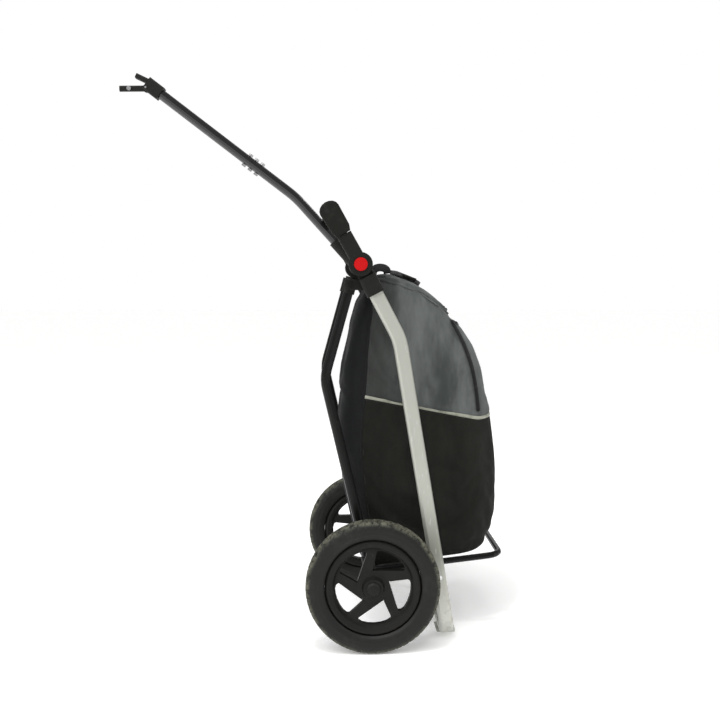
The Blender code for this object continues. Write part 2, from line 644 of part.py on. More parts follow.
# ---- drawbar ---------------------------------------------------------------------------
splice = barKink + highDir * SPLICE_AT
lowPath = rounded([hub + lowDir * BAR_START, barKink, splice - highDir * GAP / 2], [BAR_BEND_R], 5)
lower = put("drawbar_lower", pipe(lowPath, BAR_R, BAR_WALL, 14), BLACK, 0.25)
upper = put("drawbar_upper", pipe([splice + highDir * GAP / 2, barEnd], BAR_R, BAR_WALL, 14), BLACK, 0.25)
inner = put("drawbar_splice", pipe([splice - highDir * SPLICE_L / 2, splice + highDir * SPLICE_L / 2],
                                   BAR_R - BAR_WALL - GAP, 0.0016, 12), BLACK, 0.4)
highUp = direction(BAR_HIGH - pi / 2)
boltSpots = [splice + highDir * (BOLT_PITCH * k - 0.006) for k in (-1, 0, 1)]
for obj in (lower, upper, inner):
    combine(obj, [("DIFFERENCE", rod(p - highUp * 0.03, p + highUp * 0.03, BOLT_R + GAP, 10))
                  for p in boltSpots])
for k, p in enumerate(boltSpots):
    bolt = put("splice_bolt_%d" % (k + 1), rod(p - highUp * (BAR_R + 0.003), p + highUp * (BAR_R + 0.003),
                                              BOLT_R, 10), SILVER, 0.3, 1.0)
    combine(bolt, [("UNION", rod(p + highUp * (BAR_R + GAP), p + highUp * (BAR_R + 0.0055),
                                 BOLT_HEAD_R, 12)),
                   ("UNION", rod(p - highUp * (BAR_R + GAP), p - highUp * (BAR_R + 0.0050),
                                 BOLT_HEAD_R, 6))])

# ---- hitch: block on the bar's end, fixed upper jaw, hinged lower jaw --------------------
blockIn = barEnd - highDir * 0.024
blockOut = blockIn + highDir * BLOCK_L
jawPin = barEnd + highDir * 0.010 - highUp * 0.0095
block = put("hitch_block", slab(blockIn, blockOut, BLOCK_H, BLOCK_W, (0, 1, 0), 0.004), BLACK, 0.4)
upStart = blockOut - highDir * 0.004 + highUp * 0.006
upEnd = upStart + direction(BAR_HIGH + radians(12)) * JAW_L
combine(block, [
    ("UNION", slab(upStart, upEnd, 0.011, 0.024, (0, 1, 0), 0.003)),
    ("DIFFERENCE", rod(blockIn - highDir * 0.01, barEnd + highDir * GAP, BAR_R + GAP, 16)),
    ("DIFFERENCE", sweep([shifted(jawPin, -0.0062), shifted(jawPin, 0.0062)], circle(0.0108, 20), (1, 0, 0))),
    ("DIFFERENCE", slab(jawPin, jawPin + direction(BAR_HIGH + JAW_ANGLE - radians(4)) * 0.05, 0.021, 0.0124,
                        (0, 1, 0), 0.001)),
    ("DIFFERENCE", rod(jawPin - at(0, 0.03, 0), jawPin + at(0, 0.03, 0), 0.0025 + GAP, 12, (1, 0, 0))),
])
jawDir = direction(BAR_HIGH + JAW_ANGLE)
jawTip = jawPin + jawDir * JAW_REACH
jaw = put("hitch_jaw", rod(shifted(jawPin, -0.0056), shifted(jawPin, 0.0056), 0.0090, 20, (1, 0, 0)),
          BLACK, 0.4)
combine(jaw, [("UNION", slab(jawPin + jawDir * 0.004, jawTip, 0.013, 0.0108, (0, 1, 0), 0.003)),
              ("DIFFERENCE", rod(jawPin - at(0, 0.02, 0), jawPin + at(0, 0.02, 0), 0.0025 + TURN_GAP,
                                 12, (1, 0, 0)))])
put("hitch_pin", rod(shifted(jawPin, -BLOCK_W / 2 - 0.0025), shifted(jawPin, BLOCK_W / 2 + 0.0025), 0.0025,
                     12, (1, 0, 0)), SILVER, 0.3, 1.0)
spot = jawPin + jawDir * 0.040
put("jaw_stud", rod(shifted(spot, -0.0054 - GAP), shifted(spot, -0.0054 - 0.003), 0.0052, 16, (1, 0, 0)),
    SILVER, 0.2, 1.0)

# ---- bag -------------------------------------------------------------------------------
# the bag's side profile: back and front points of each level, from the bottom to the rim
LEVELS = [
    (0.018, 0.000, 0.234, 0.000, 0.122), (-0.008, 0.012, 0.261, 0.011, 0.136),
    (-0.021, 0.045, 0.277, 0.043, BAG_HALF), (-0.033, 0.095, 0.2845, 0.082, BAG_HALF),
    (-0.052, 0.185, 0.2865, 0.155, BAG_HALF), (-0.0635, 0.275, 0.2835, 0.230, BAG_HALF),
    (-0.0665, 0.345, 0.279, 0.300, BAG_HALF), (-0.062, 0.415, 0.2725, 0.360, BAG_HALF),
    (-0.055, 0.485, 0.262, 0.418, BAG_HALF), (-0.047, 0.553, 0.243, 0.472, BAG_HALF - 0.002),
    (-0.033, 0.606, 0.215, 0.520, BAG_HALF - 0.005), (-0.006, 0.643, 0.178, 0.556, BAG_HALF - 0.010),
]


ARCHED = {9: 0.10, 10: 0.42, 11: 1.0}


def arch(u):
    """Rise of the rim along its length, 0 at the ends and 1 at the top, fuller at the back."""
    u = min(max(u, 0.0), 1.0)
    return sin(pi * u ** 0.8)


def levelPoints(level, grow):
    """Ends of one level, moved outwards by grow (inwards when negative)."""
    xb, zb, xf, zf, w = level
    base = AXLE_Z + BAG_CLEAR
    back = at(xb, 0, base + zb + xb * tan(TRAY_TILT))
    frontP = at(xf, 0, base + zf + xf * tan(TRAY_TILT))
    d = (frontP - back).normalized()
    return back - d * grow, frontP + d * grow, w + grow


def cornerPath(level, grow, segs=5):
    """(along, across) of a level's rounded ring, tighter at the back."""
    back, frontP, w = levelPoints(level, grow)
    length = (frontP - back).length
    rb, rf = BAG_BACK_R + grow, min(BAG_FRONT_R + grow, w - 0.02)
    pts = []
    for u, v, r, a0 in ((rb, -w + rb, rb, 180), (length - rf, -w + rf, rf, 270),
                        (length - rf, w - rf, rf, 0), (rb, w - rb, rb, 90)):
        for k in range(segs + 1):
            a = radians(a0 + 90 * k / segs)
            pts.append((u + r * cos(a), v + r * sin(a)))
    return back, (frontP - back).normalized(), length, pts


def outline(level, grow=0.0):
    """Closed ring round the bag at a level, arched near the rim by the outer ring's own rise."""
    back, d, length, pts = cornerPath(level, grow)
    outerLength, outerPts = cornerPath(level, 0.0)[2:]
    rise = RIM_ARCH * ARCHED.get(LEVELS.index(level), 0.0)
    return [back + d * u + at(0, v, rise * arch(outerPts[i][0] / outerLength))
            for i, (u, v) in enumerate(pts)]


def bagRings(grow, levels):
    return [outline(level, grow) for level in levels]


bm = bmesh.new()
outerRings = [[bm.verts.new(p) for p in ring] for ring in bagRings(0.0, LEVELS)]
innerPts = bagRings(-BAG_WALL, LEVELS)
lift = trayUp * BAG_WALL
innerRings = []
for i, ring in enumerate(innerPts):
    rise = lift if i == 0 else (lift * 0.5 if i == 1 else Vector((0, 0, 0)))
    innerRings.append([bm.verts.new(p + rise) for p in ring])
for rings in (outerRings, innerRings):
    for a, b in zip(rings, rings[1:]):
        bridge(bm, a, b)
bm.faces.new(outerRings[0])
bm.faces.new(innerRings[0])
bridge(bm, outerRings[-1], innerRings[-1])
put("bag_shell", bm, (0.10, 0.11, 0.125), 0.9)

# stiff base board lying in the bottom of the bag
boardRing = outline(LEVELS[0], -BAG_WALL - 0.008)
bm = bmesh.new()
low = [bm.verts.new(p + trayUp * (BAG_WALL + GAP)) for p in boardRing]
high = [bm.verts.new(p + trayUp * (BAG_WALL + GAP + BOARD_T)) for p in boardRing]
bridge(bm, low, high)
bm.faces.new(low)
bm.faces.new(high)
put("base_board", bm, (0.05, 0.05, 0.05), 0.7)

# lid: soft domed cover lying on the rim, hinged along the rear edge
rimB, rimF, rimW = levelPoints(LEVELS[-1], 0.0)
rimD = (rimF - rimB).normalized()
rimN = Vector((-rimD.z, 0, rimD.x))
bm = bmesh.new()
lidRings = []
rimRing = outline(LEVELS[-1])
rimMid = (rimB + rimF) / 2
rimRun = rimF.x - rimB.x
for shrink, rise in ((0.30, 0.004), (0.62, 0.003), (0.90, 0.0012), (1.0, 0.0008), (1.012, LID_T / 2),
                     (1.0, LID_T), (0.90, LID_T + 0.003), (0.62, LID_T + 0.006), (0.30, LID_T + 0.007)):
    pts = []
    for q in rimRing:
        flat = q - Z_UP * RIM_ARCH * arch((q.x - rimB.x) / rimRun)
        p = rimMid + (flat - rimMid) * shrink
        pts.append(bm.verts.new(p + Z_UP * (rise + RIM_ARCH * arch((p.x - rimB.x) / rimRun))))
    lidRings.append(pts)
for a, b in zip(lidRings, lidRings[1:]):
    bridge(bm, a, b)
for ring in (lidRings[0], lidRings[-1]):
    middle = bm.verts.new(sum((v.co for v in ring), Vector((0, 0, 0))) / len(ring))
    for i in range(len(ring)):
        bm.faces.new((ring[i], ring[(i + 1) % len(ring)], middle))
lidHinge = rimB + rimN * 0.0008
put("bag_lid", bm, (0.12, 0.13, 0.145), 0.9, origin=tuple(lidHinge))


def surfaceBand(points, outward, width, thick, gap):
    """Flat band lying on the bag along points; outward gives its normal at each point."""
    bm = bmesh.new()
    rings = []
    for i, p in enumerate(points):
        if i == 0:
            t = points[1] - p
        elif i == len(points) - 1:
            t = p - points[i - 1]
        else:
            t = points[i + 1] - points[i - 1]
        t.normalize()
        n = outward[i]
        n = (n - t * n.dot(t)).normalized()
        b = t.cross(n)
        ring = []
        for a, h in ((-0.5, gap), (0.5, gap), (0.5, gap + thick * 0.7), (0.25, gap + thick),
                     (-0.25, gap + thick), (-0.5, gap + thick * 0.7)):
            ring.append(bm.verts.new(p + b * (a * width) + n * h))
        rings.append(ring)
    for a, b in zip(rings, rings[1:]):
        bridge(bm, a, b)
    bm.faces.new(rings[0])
    bm.faces.new(rings[-1])
    return bm


def outwardAt(j, f, i):
    """Outward normal of the bag's surface, f of the way from level j to the next, at vertex i."""
    j, f = (j, f) if j < len(LEVELS) - 1 else (j - 1, 1.0)
    low, high = outline(LEVELS[j]), outline(LEVELS[j + 1])
    mid = [a + (b - a) * f for a, b in zip(low, high)]
    n = len(mid)
    along = mid[(i + 1) % n] - mid[i - 1]
    out = along.cross(high[i] - low[i]).normalized()
    centre = sum(mid, Vector((0, 0, 0))) / n
    return out if out.dot(mid[i] - centre) > 0 else -out


def surfaceAt(j, f, i):
    j, f = (j, f) if j < len(LEVELS) - 1 else (j - 1, 1.0)
    low, high = outline(LEVELS[j]), outline(LEVELS[j + 1])
    return low[i] + (high[i] - low[i]) * f


# reflective piping round the sides and the front, at the seam of the two fabrics
n = len(outline(LEVELS[6]))
picked = list(range(5, n - 5))
seamX = [surfaceAt(6, 0.45, i).x for i in picked]
seamF = [PIPE_BACK + (PIPE_FRONT - PIPE_BACK) * min(1.0, (x - min(seamX)) / (PIPE_CORNER * (max(seamX) - min(seamX))))
         for x in seamX]
pts = [surfaceAt(6, f, i) for f, i in zip(seamF, picked)]
outs = [outwardAt(6, f, i) for f, i in zip(seamF, picked)]
pts[0] = pts[0] + (pts[1] - pts[0]) * 0.10
pts[-1] = pts[-1] + (pts[-2] - pts[-1]) * 0.10
put("bag_piping", surfaceBand(pts, outs, PIPE_W, PIPE_T, 0.0006), (0.7, 0.72, 0.74), 0.4)

# zip tape up the front corner, across the top of the front and down the other side
zipAt = [(6, 0.75), (7, 0.0), (7, 0.5), (8, 0.0), (8, 0.5), (9, 0.0), (9, 0.5), (10, 0.0)]
upLeft = [surfaceAt(j, f, 7) for j, f in zipAt]
outLeft = [outwardAt(j, f, 7) for j, f in zipAt]
over = [surfaceAt(10, 0.0, i) for i in range(8, 16)]
overOut = [outwardAt(10, 0.0, i) for i in range(8, 16)]
mirror = [at(p.x, -p.y, p.z) for p in reversed(upLeft)]
mirrorOut = [at(p.x, -p.y, p.z) for p in reversed(outLeft)]
put("front_zip", surfaceBand(upLeft + over + mirror, outLeft + overOut + mirrorOut, 0.006, 0.0018, 0.0008),
    BLACK, 0.6)
# two hanging loops of webbing from the bag's rear top edge round the crossbar
for s in (-1, 1):
    yc = s * 0.085
    wrap = []
    r = CROSS_R + 0.0006 + STRAP_T / 2
    for k in range(13):
        a = radians(-40 + 280 * k / 12)
        wrap.append(at(HUB_X + r * cos(a), yc, HUB_Z + r * sin(a)))
    path = [at(HUB_X + 0.0045, yc, HUB_Z - 0.020)] + wrap + [at(HUB_X - 0.0005, yc, HUB_Z - 0.020)]
    put(side("hang_loop", s), sweep(path, [(STRAP_W / 2, STRAP_T / 2), (-STRAP_W / 2, STRAP_T / 2),
                                           (-STRAP_W / 2, -STRAP_T / 2), (STRAP_W / 2, -STRAP_T / 2)],
                                    (0, 1, 0)), BLACK, 0.8)

# closing strap over the lid with its ladder buckle, and a lifting loop behind it
bpy.context.view_layer.update()
lidObj = bpy.data.objects["bag_lid"]


def lidTop(u, y, lift=0.0):
    """Point on top of the lid, u of the way from its back to its front."""
    above = at(rimB.x + rimRun * u, y, rimB.z + 0.3)
    hit, where, normal, _ = lidObj.ray_cast(lidObj.matrix_world.inverted() @ above, -Z_UP)
    return lidObj.matrix_world @ where + Z_UP * lift


path = [lidTop(STRAP_FROM + (STRAP_TO - STRAP_FROM) * k / 8, STRAP_Y) for k in range(9)]
put("lid_strap", surfaceBand(path, [Z_UP] * len(path), STRAP_W, STRAP_T, 0.0022), BLACK, 0.8,
    origin=tuple(lidHinge))
backFoot, frontFoot = lidTop(LOOP_FROM, STRAP_Y, 0.0028), lidTop(LOOP_TO, STRAP_Y, 0.0028)
arc = []
for k in range(13):
    a = pi * k / 12
    middle = (backFoot + frontFoot) / 2
    arc.append(middle - (frontFoot - backFoot) / 2 * cos(a) + Z_UP * (LOOP_RISE * sin(a)))
put("carry_loop", sweep(arc, roundRect(0.018, STRAP_T, 0.0007, 1), (0, 1, 0)), BLACK, 0.8,
    origin=tuple(lidHinge))
mid = path[5]
along = (path[6] - path[4]).normalized()
upv = Vector((-along.z, 0, along.x))
base = mid + upv * (0.0022 + STRAP_T + GAP * 3)
buckle = put("lid_buckle", slab(base - along * 0.016 + upv * 0.003, base + along * 0.016 + upv * 0.003,
                                0.034, 0.006, tuple(upv), 0.0015), BLACK, 0.4)
slots = []
for off in (-0.0085, 0.0085):
    c = base + along * off + upv * 0.003
    slots.append(("DIFFERENCE", slab(c - upv * 0.01, c + upv * 0.01, 0.006, 0.026, (0, 1, 0), 0.001)))
combine(buckle, slots)

# ---- origins on the joint axes, then the shift of the whole to its own frame ------------
bpy.context.view_layer.update()
lows, highs = [], []
for obj in scene.objects:
    for v in obj.data.vertices:
        x = (obj.matrix_world @ v.co).x
        lows.append(x)
        highs.append(x)
offset = -(min(lows) + max(highs)) / 2


def pivotAt(names, point):
    for name in names:
        obj = bpy.data.objects[name]
        move = Vector(point) - obj.location
        obj.data.transform(Matrix.Translation(-move))
        obj.location = Vector(point)


for s in (-1, 1):
    y = s * WHEEL_Y
    pivotAt([side("wheel_rim", s), side("tyre", s), side("bearing_inner", s),
             side("bearing_outer", s), side("hub_cap", s)], (0, y, AXLE_Z))
    pivotAt([side("rear_leg", s), side("leg_cap", s), side("axle_bracket", s), side("pivot_bolt", s)],
            (PIVOT_X, s * LEG_Y, PIVOT_Z))
    pivotAt([side("handle_arm", s), side("grip_end", s), side("button", s)],
            (HUB_X, s * TUBE_Y, HUB_Z))
pivotAt(["axle_tube", "axle_rod"], (PIVOT_X, 0, PIVOT_Z))
pivotAt(["tray_loop"], (0, 0, AXLE_Z))
pivotAt(["grip_core", "grip_sleeve"], (HUB_X, 0, HUB_Z))
pivotAt(["hitch_jaw", "jaw_stud"], tuple(jawPin))
pivotAt(["lid_buckle"], tuple(lidHinge))
for obj in scene.objects:
    obj.location.x += offset
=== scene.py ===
import json
from math import atan2, cos, pi, radians, sin, sqrt
import bpy
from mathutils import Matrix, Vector
from mathutils.bvhtree import BVHTree


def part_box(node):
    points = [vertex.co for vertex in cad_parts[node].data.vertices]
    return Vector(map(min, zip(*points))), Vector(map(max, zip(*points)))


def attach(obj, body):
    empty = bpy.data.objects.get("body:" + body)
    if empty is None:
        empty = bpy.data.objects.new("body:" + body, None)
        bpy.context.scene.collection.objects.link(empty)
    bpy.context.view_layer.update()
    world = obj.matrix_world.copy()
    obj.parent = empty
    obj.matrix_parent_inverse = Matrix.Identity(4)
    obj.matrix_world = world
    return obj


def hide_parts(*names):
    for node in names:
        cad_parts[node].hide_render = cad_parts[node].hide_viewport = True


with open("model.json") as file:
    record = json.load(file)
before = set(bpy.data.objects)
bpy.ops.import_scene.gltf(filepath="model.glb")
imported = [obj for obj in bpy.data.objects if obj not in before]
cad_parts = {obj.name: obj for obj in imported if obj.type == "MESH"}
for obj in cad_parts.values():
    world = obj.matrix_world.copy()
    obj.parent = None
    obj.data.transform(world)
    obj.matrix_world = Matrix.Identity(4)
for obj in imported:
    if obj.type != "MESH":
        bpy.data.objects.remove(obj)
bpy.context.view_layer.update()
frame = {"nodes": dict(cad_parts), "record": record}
nodes = frame["nodes"]
axle = (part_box("axle_rod")[0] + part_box("axle_rod")[1]) / 2
print("frame loaded,", len(nodes), "parts")


# ---- camera, floor and light ----
view = {
    "fromAxle": (-0.0992, -2.25, 0.641),
    "turn": -2.04,  # degrees, towards +X
    "down": 4.38,
    "lens": 47.6,
    "floorTone": (0.96, 0.96, 0.955, 1),
    "skyGlow": 0.30,
}


def makeCamera():
    lens = bpy.data.cameras.new("camera")
    lens.lens, lens.sensor_width = view["lens"], 36
    camera = bpy.data.objects.new("camera", lens)
    camera.location = axle + Vector(view["fromAxle"])
    camera.rotation_euler = (radians(90 - view["down"]), 0, radians(view["turn"]))
    bpy.context.scene.collection.objects.link(camera)
    bpy.context.scene.camera = camera


lights = [
    # name, kind, place, aim, size (an angle for a sun), strength
    ("overhead", "SUN", (-0.8, -1.6, 3.2), (0.1, 0.0, 0.4), 52, 2.1),
    ("leftStrip", "AREA", (-2.4, -1.3, 1.5), (0.1, 0.0, 0.6), 1.1, 26),
    ("rightFill", "AREA", (2.6, -0.9, 1.7), (0.2, 0.0, 0.5), 1.2, 22),
    ("glint", "AREA", (-0.4, -1.6, 3.4), (0.0, 0.0, 0.8), 0.22, 16),
    ("backRim", "AREA", (0.9, 2.6, 2.1), (0.1, 0.0, 0.6), 1.6, 22),
]


def makeLights():
    for name, kind, place, aim, size, strength in lights:
        lamp = bpy.data.lights.new(name, kind)
        lamp.energy = strength
        if kind == "SUN":
            lamp.angle = radians(size)
        else:
            lamp.size = size
        obj = bpy.data.objects.new(name, lamp)
        obj.location = place
        obj.rotation_euler = (Vector(aim) - Vector(place)).to_track_quat("-Z", "Y").to_euler()
        bpy.context.scene.collection.objects.link(obj)
    world = bpy.data.worlds.new("studio")
    bpy.context.scene.world = world
    world.use_nodes = True
    tree = world.node_tree
    sky = tree.nodes["Background"]
    sky.inputs[0].default_value = (1.0, 1.0, 1.0, 1)
    sky.inputs[1].default_value = view["skyGlow"]
    backdrop = tree.nodes.new("ShaderNodeBackground")  # plain white behind, softer light on the cart
    backdrop.inputs[0].default_value, backdrop.inputs[1].default_value = (1.0, 1.0, 1.0, 1), 1.0
    seen, blend = tree.nodes.new("ShaderNodeLightPath"), tree.nodes.new("ShaderNodeMixShader")
    tree.links.new(seen.outputs["Is Camera Ray"], blend.inputs[0])
    tree.links.new(sky.outputs[0], blend.inputs[1])
    tree.links.new(backdrop.outputs[0], blend.inputs[2])
    tree.links.new(blend.outputs[0], tree.nodes["World Output"].inputs[0])
    bpy.context.scene.view_settings.view_transform = "Standard"


makeCamera()
makeLights()
print("camera and lights set")


# ---- shader helpers ----
class Wire:  # a socket that can be used in sums
    def __init__(self, paint, socket):
        self.paint, self.socket = paint, socket

    def sum(self, operation, *values):
        return self.paint.add("ShaderNodeMath", {"operation": operation}, dict(enumerate(values)))

    def of(self, operation):  # a function of this one socket
        return self.sum(operation, self)

    def __add__(self, other):
        return self.sum("ADD", self, other)

    def __sub__(self, other):
        return self.sum("SUBTRACT", self, other)

    def __rsub__(self, other):
        return self.sum("SUBTRACT", other, self)

    def __mul__(self, other):
        return self.sum("MULTIPLY", self, other)

    def __pow__(self, other):
        return self.sum("POWER", self, other)

    __radd__, __rmul__ = __add__, __mul__


class Paint:  # one material and the nodes behind it
    def __init__(self, name):
        self.mat = bpy.data.materials.new(name)
        self.mat.use_nodes = True
        self.tree = self.mat.node_tree
        self.tree.nodes.clear()
        self.shader = self.tree.nodes.new("ShaderNodeBsdfPrincipled")
        end = self.tree.nodes.new("ShaderNodeOutputMaterial")
        self.tree.links.new(self.shader.outputs[0], end.inputs[0])
        self.place = self.add("ShaderNodeTexCoord", {}, {}, "Object")
        self.cloth = self.add("ShaderNodeTexCoord", {}, {}, "UV")

    def add(self, kind, settings, sockets, out=0):
        node = self.tree.nodes.new(kind)
        for key, value in settings.items():
            if key == "stops":
                ramp = node.color_ramp
                while len(ramp.elements) < len(value):
                    ramp.elements.new(0.5)
                for stop, (at, tone) in zip(ramp.elements, value):
                    stop.position, stop.color = at, tone if len(tone) == 4 else (*tone, 1)
            else:
                setattr(node, key, value)
        for key, value in sockets.items():
            if isinstance(value, Wire):
                self.tree.links.new(value.socket, node.inputs[key])
            else:
                node.inputs[key].default_value = value
        return Wire(self, node.outputs[out])

    def noise(self, scale, detail=3.0, rough=0.55, at=None, stretch=None):
        at = at or self.place
        if stretch:
            at = self.add("ShaderNodeMapping", {}, {"Vector": at, "Scale": stretch})
        sockets = {"Vector": at, "Scale": scale, "Detail": detail, "Roughness": rough}
        return self.add("ShaderNodeTexNoise", {}, sockets)

    def step(self, value, low, high):  # 0 below low, 1 above high
        return self.add("ShaderNodeMapRange", {"interpolation_type": "SMOOTHSTEP"},
                        {"Value": value, "From Min": low, "From Max": high})

    def mix(self, mask, first, second):
        first, second = (tone if isinstance(tone, Wire) else (*tone, 1) for tone in (first, second))
        return self.add("ShaderNodeMix", {"data_type": "RGBA"}, {0: mask, 6: first, 7: second}, 2)

    def axes(self, at):
        return [self.add("ShaderNodeSeparateXYZ", {}, {0: at}, i) for i in range(3)]

    def wave(self, value, pitch):  # -1 to 1, one turn every pitch metres
        return (value * (2 * pi / pitch)).of("SINE")

    def bump(self, height, depth, strength=1.0, under=None):
        sockets = {"Height": height, "Distance": depth, "Strength": strength}
        if under:
            sockets["Normal"] = under
        return self.add("ShaderNodeBump", {}, sockets)

    def finish(self, **inputs):
        names = {
            "colour": "Base Color", "rough": "Roughness", "metal": "Metallic", "normal": "Normal",
            "coat": "Coat Weight", "coatRough": "Coat Roughness",
            "sheen": "Sheen Weight", "sheenRough": "Sheen Roughness",
            "glow": "Emission Color", "spec": "Specular IOR Level",
        }
        for key, value in inputs.items():
            if isinstance(value, Wire):
                self.tree.links.new(value.socket, self.shader.inputs[names[key]])
            else:
                self.shader.inputs[names[key]].default_value = value
        return self.mat


# ---- finishes ----
def silverTube():  # anodised tube, brushed along its length, dulled near the floor, with a painted shade band beside the tyre and a painted highlight at the foot
    p = Paint("silverTube")
    brushed = p.noise(260, 4, 0.6, stretch=(1, 1, 0.04))
    cloudy = p.noise(9, 3)
    height = p.axes(p.place)[2]
    dusty = p.step(p.noise(34, 4, 0.7), 0.52, 0.70) * (1 - p.step(height, 0.03, 0.22))
    scratches = p.step(p.noise(70, 2, 0.4, stretch=(5, 5, 0.5)), 0.66, 0.70)
    tone = p.mix(cloudy, (0.415, 0.42, 0.375), (0.475, 0.48, 0.43))
    wearAndShadeMask = p.step(height, 0.130, 0.205) * (1 - p.step(height, 0.215, 0.330))  # painted shade: a darker band on the tube beside the tyre
    tone = p.mix(wearAndShadeMask * 0.75, tone, (0.21, 0.215, 0.18))
    # painted highlight: the tube is lighter near the floor, at the bend of its foot
    tone = p.mix(1 - p.step(height, 0.05, 0.13), tone, (0.56, 0.565, 0.52))
    tone = p.mix(dusty * 0.5, tone, (0.30, 0.28, 0.23))
    return p.finish(colour=p.mix(scratches * 0.25, tone, (0.82, 0.82, 0.80)), metal=0.55,
                    rough=0.38 + brushed * 0.12 + dusty * 0.2,
                    normal=p.bump(brushed, 0.00012, 0.35))


def brightSteel():
    p = Paint("brightSteel")
    turned = p.noise(420, 3, 0.6, stretch=(1, 0.2, 1))
    stain = p.step(p.noise(60, 4), 0.55, 0.75)
    return p.finish(colour=p.mix(stain, (0.66, 0.66, 0.67), (0.42, 0.40, 0.37)), metal=1.0,
                    rough=0.22 + turned * 0.14 + stain * 0.18, normal=p.bump(turned, 0.00008, 0.4))


def satinBlack():  # powder coat on the leg rods, tray and axle
    p = Paint("satinBlack")
    peel = p.noise(900, 2, 0.5)
    worn = p.step(p.noise(45, 5, 0.7), 0.62, 0.74)
    tone = p.mix(worn, (0.0030, 0.0030, 0.0027), (0.014, 0.0135, 0.012))
    return p.finish(colour=tone, spec=0.22, rough=0.30 + worn * 0.2 + peel * 0.06,
                    normal=p.bump(peel, 0.00010, 0.5))


def glossBlack():  # enamel on the drawbar
    p = Paint("glossBlack")
    flow = p.noise(120, 2, 0.4)
    dust = p.step(p.noise(300, 3, 0.7), 0.60, 0.72)
    tone = p.mix(dust, (0.006, 0.006, 0.006), (0.020, 0.020, 0.019))
    return p.finish(colour=tone, rough=0.15 + dust * 0.12 + flow * 0.05,
                    coat=0.6, coatRough=0.06, normal=p.bump(flow, 0.0002, 0.15))


def mouldedBlack():  # nylon fittings with a spark-eroded grain
    p = Paint("mouldedBlack")
    grain = p.noise(1400, 2, 0.6)
    cloudy = p.noise(30, 4)
    wearAndShadeMask = p.step(p.noise(85, 5, 0.7), 0.60, 0.72)
    tone = p.mix(cloudy, (0.0060, 0.0060, 0.0048), (0.0100, 0.0100, 0.0082))
    tone = p.mix(wearAndShadeMask * 0.5, tone, (0.030, 0.030, 0.027))
    return p.finish(colour=tone, rough=0.46 + grain * 0.14 - wearAndShadeMask * 0.08, spec=0.2,
                    normal=p.bump(grain, 0.00012, 0.6))


def softGrip():  # rubber skin of the handle
    p = Paint("softGrip")
    across = p.axes(p.place)[1]
    ribs = p.wave(across, 0.004)
    grain = p.noise(1100, 3, 0.6)
    polished = p.step(p.noise(40, 3), 0.5, 0.7)
    tone = p.mix(polished, (0.0075, 0.0075, 0.0058), (0.0130, 0.0130, 0.0105))
    return p.finish(colour=tone, rough=0.72 - polished * 0.14 + grain * 0.08, spec=0.18,
                    normal=p.bump(grain + ribs * 0.12, 0.00016, 0.6))


def tyreRubber():  # dusty tread, cleaner side walls
    p = Paint("tyreRubber")
    x, y, z = p.axes(p.place)
    out = (x * x + z * z).of("SQRT")
    tread = p.step(out, 0.134, 0.143)
    dust = p.step(p.noise(70, 5, 0.7), 0.36, 0.62) * tread
    scuff = p.step(p.noise(26, 4, 0.6), 0.50, 0.72)
    fine = p.noise(900, 2, 0.6)
    tone = p.mix(scuff, (0.0065, 0.0065, 0.0056), (0.0120, 0.0120, 0.0100))
    tone = p.mix(dust * 0.8, tone, (0.150, 0.150, 0.112))
    return p.finish(colour=tone, rough=0.50 + dust * 0.32 + fine * 0.08, spec=0.3,
                    normal=p.bump(fine, 0.00014, 0.5))


def redPlastic():
    p = Paint("redPlastic")
    swirl = p.noise(60, 3, 0.5)
    fine = p.noise(1200, 2, 0.5)
    tone = p.mix(swirl, (0.42, 0.0008, 0.0015), (0.52, 0.0020, 0.0035))
    return p.finish(colour=tone, rough=0.26 + fine * 0.10, coat=0.08, spec=0.25,
                    coatRough=0.08, normal=p.bump(swirl, 0.0002, 0.2))


def weave(p, pitch):  # height of a plain weave in the cloth's own metres
    u, v, _ = p.axes(p.cloth)
    warp, weft = p.wave(u, pitch), p.wave(v, pitch)
    return (warp * 0.5 + 0.5) * (weft * 0.5 + 0.5) + p.noise(3200, 2, at=p.cloth) * 0.5


def bagCloth(name, dark, light, fleck, rough=0.82, rearShadeTone=None):
    p = Paint(name)
    threads = weave(p, 0.0011)
    heather = p.noise(1500, 3, 0.7, at=p.cloth, stretch=(1, 0.35, 1))
    # painted light and shade of creases: stretched noise streaks between the dark and light tones
    creaseLightAndShade = p.noise(11, 4, 0.6, stretch=(1.5, 0.5, 0.45))
    creased = p.noise(22, 5, 0.65, at=p.cloth, stretch=(1.5, 0.6, 1))
    tone = p.mix(p.step(creaseLightAndShade, 0.30, 0.72), dark, light)
    tone = p.mix(p.step(heather, 0.50, 0.78) * 0.55, tone, fleck)
    if rearShadeTone:  # painted shade towards the rear seam, between the tube and the back panel
        ahead = p.axes(p.place)[0] + creaseLightAndShade * 0.03
        tone = p.mix((1 - p.step(ahead, axle.x + 0.035, axle.x + 0.105)) * 0.8, tone, rearShadeTone)
    puckers = p.bump(creased, 0.0035, 0.5)
    return p.finish(colour=tone, rough=rough + threads * 0.08, sheen=0.03, sheenRough=0.5, spec=0.15,
                    normal=p.bump(threads, 0.00025, 0.7, puckers))


def webbingBlack():  # woven strap with a twill rib
    p = Paint("webbingBlack")
    u, v, _ = p.axes(p.cloth)
    twill = p.wave(u + v, 0.0022)
    ribs = p.wave(v, 0.0016)
    frayed = p.step(p.noise(700, 4, 0.7, at=p.cloth), 0.58, 0.75)
    tone = p.mix(twill * 0.5 + 0.5, (0.010, 0.010, 0.010), (0.022, 0.022, 0.021))
    tone = p.mix(frayed * 0.4, tone, (0.055, 0.055, 0.052))
    return p.finish(colour=tone, rough=0.72 + frayed * 0.12, sheen=0.04, spec=0.2,
                    normal=p.bump(twill * 0.6 + ribs * 0.4, 0.00022, 0.8))


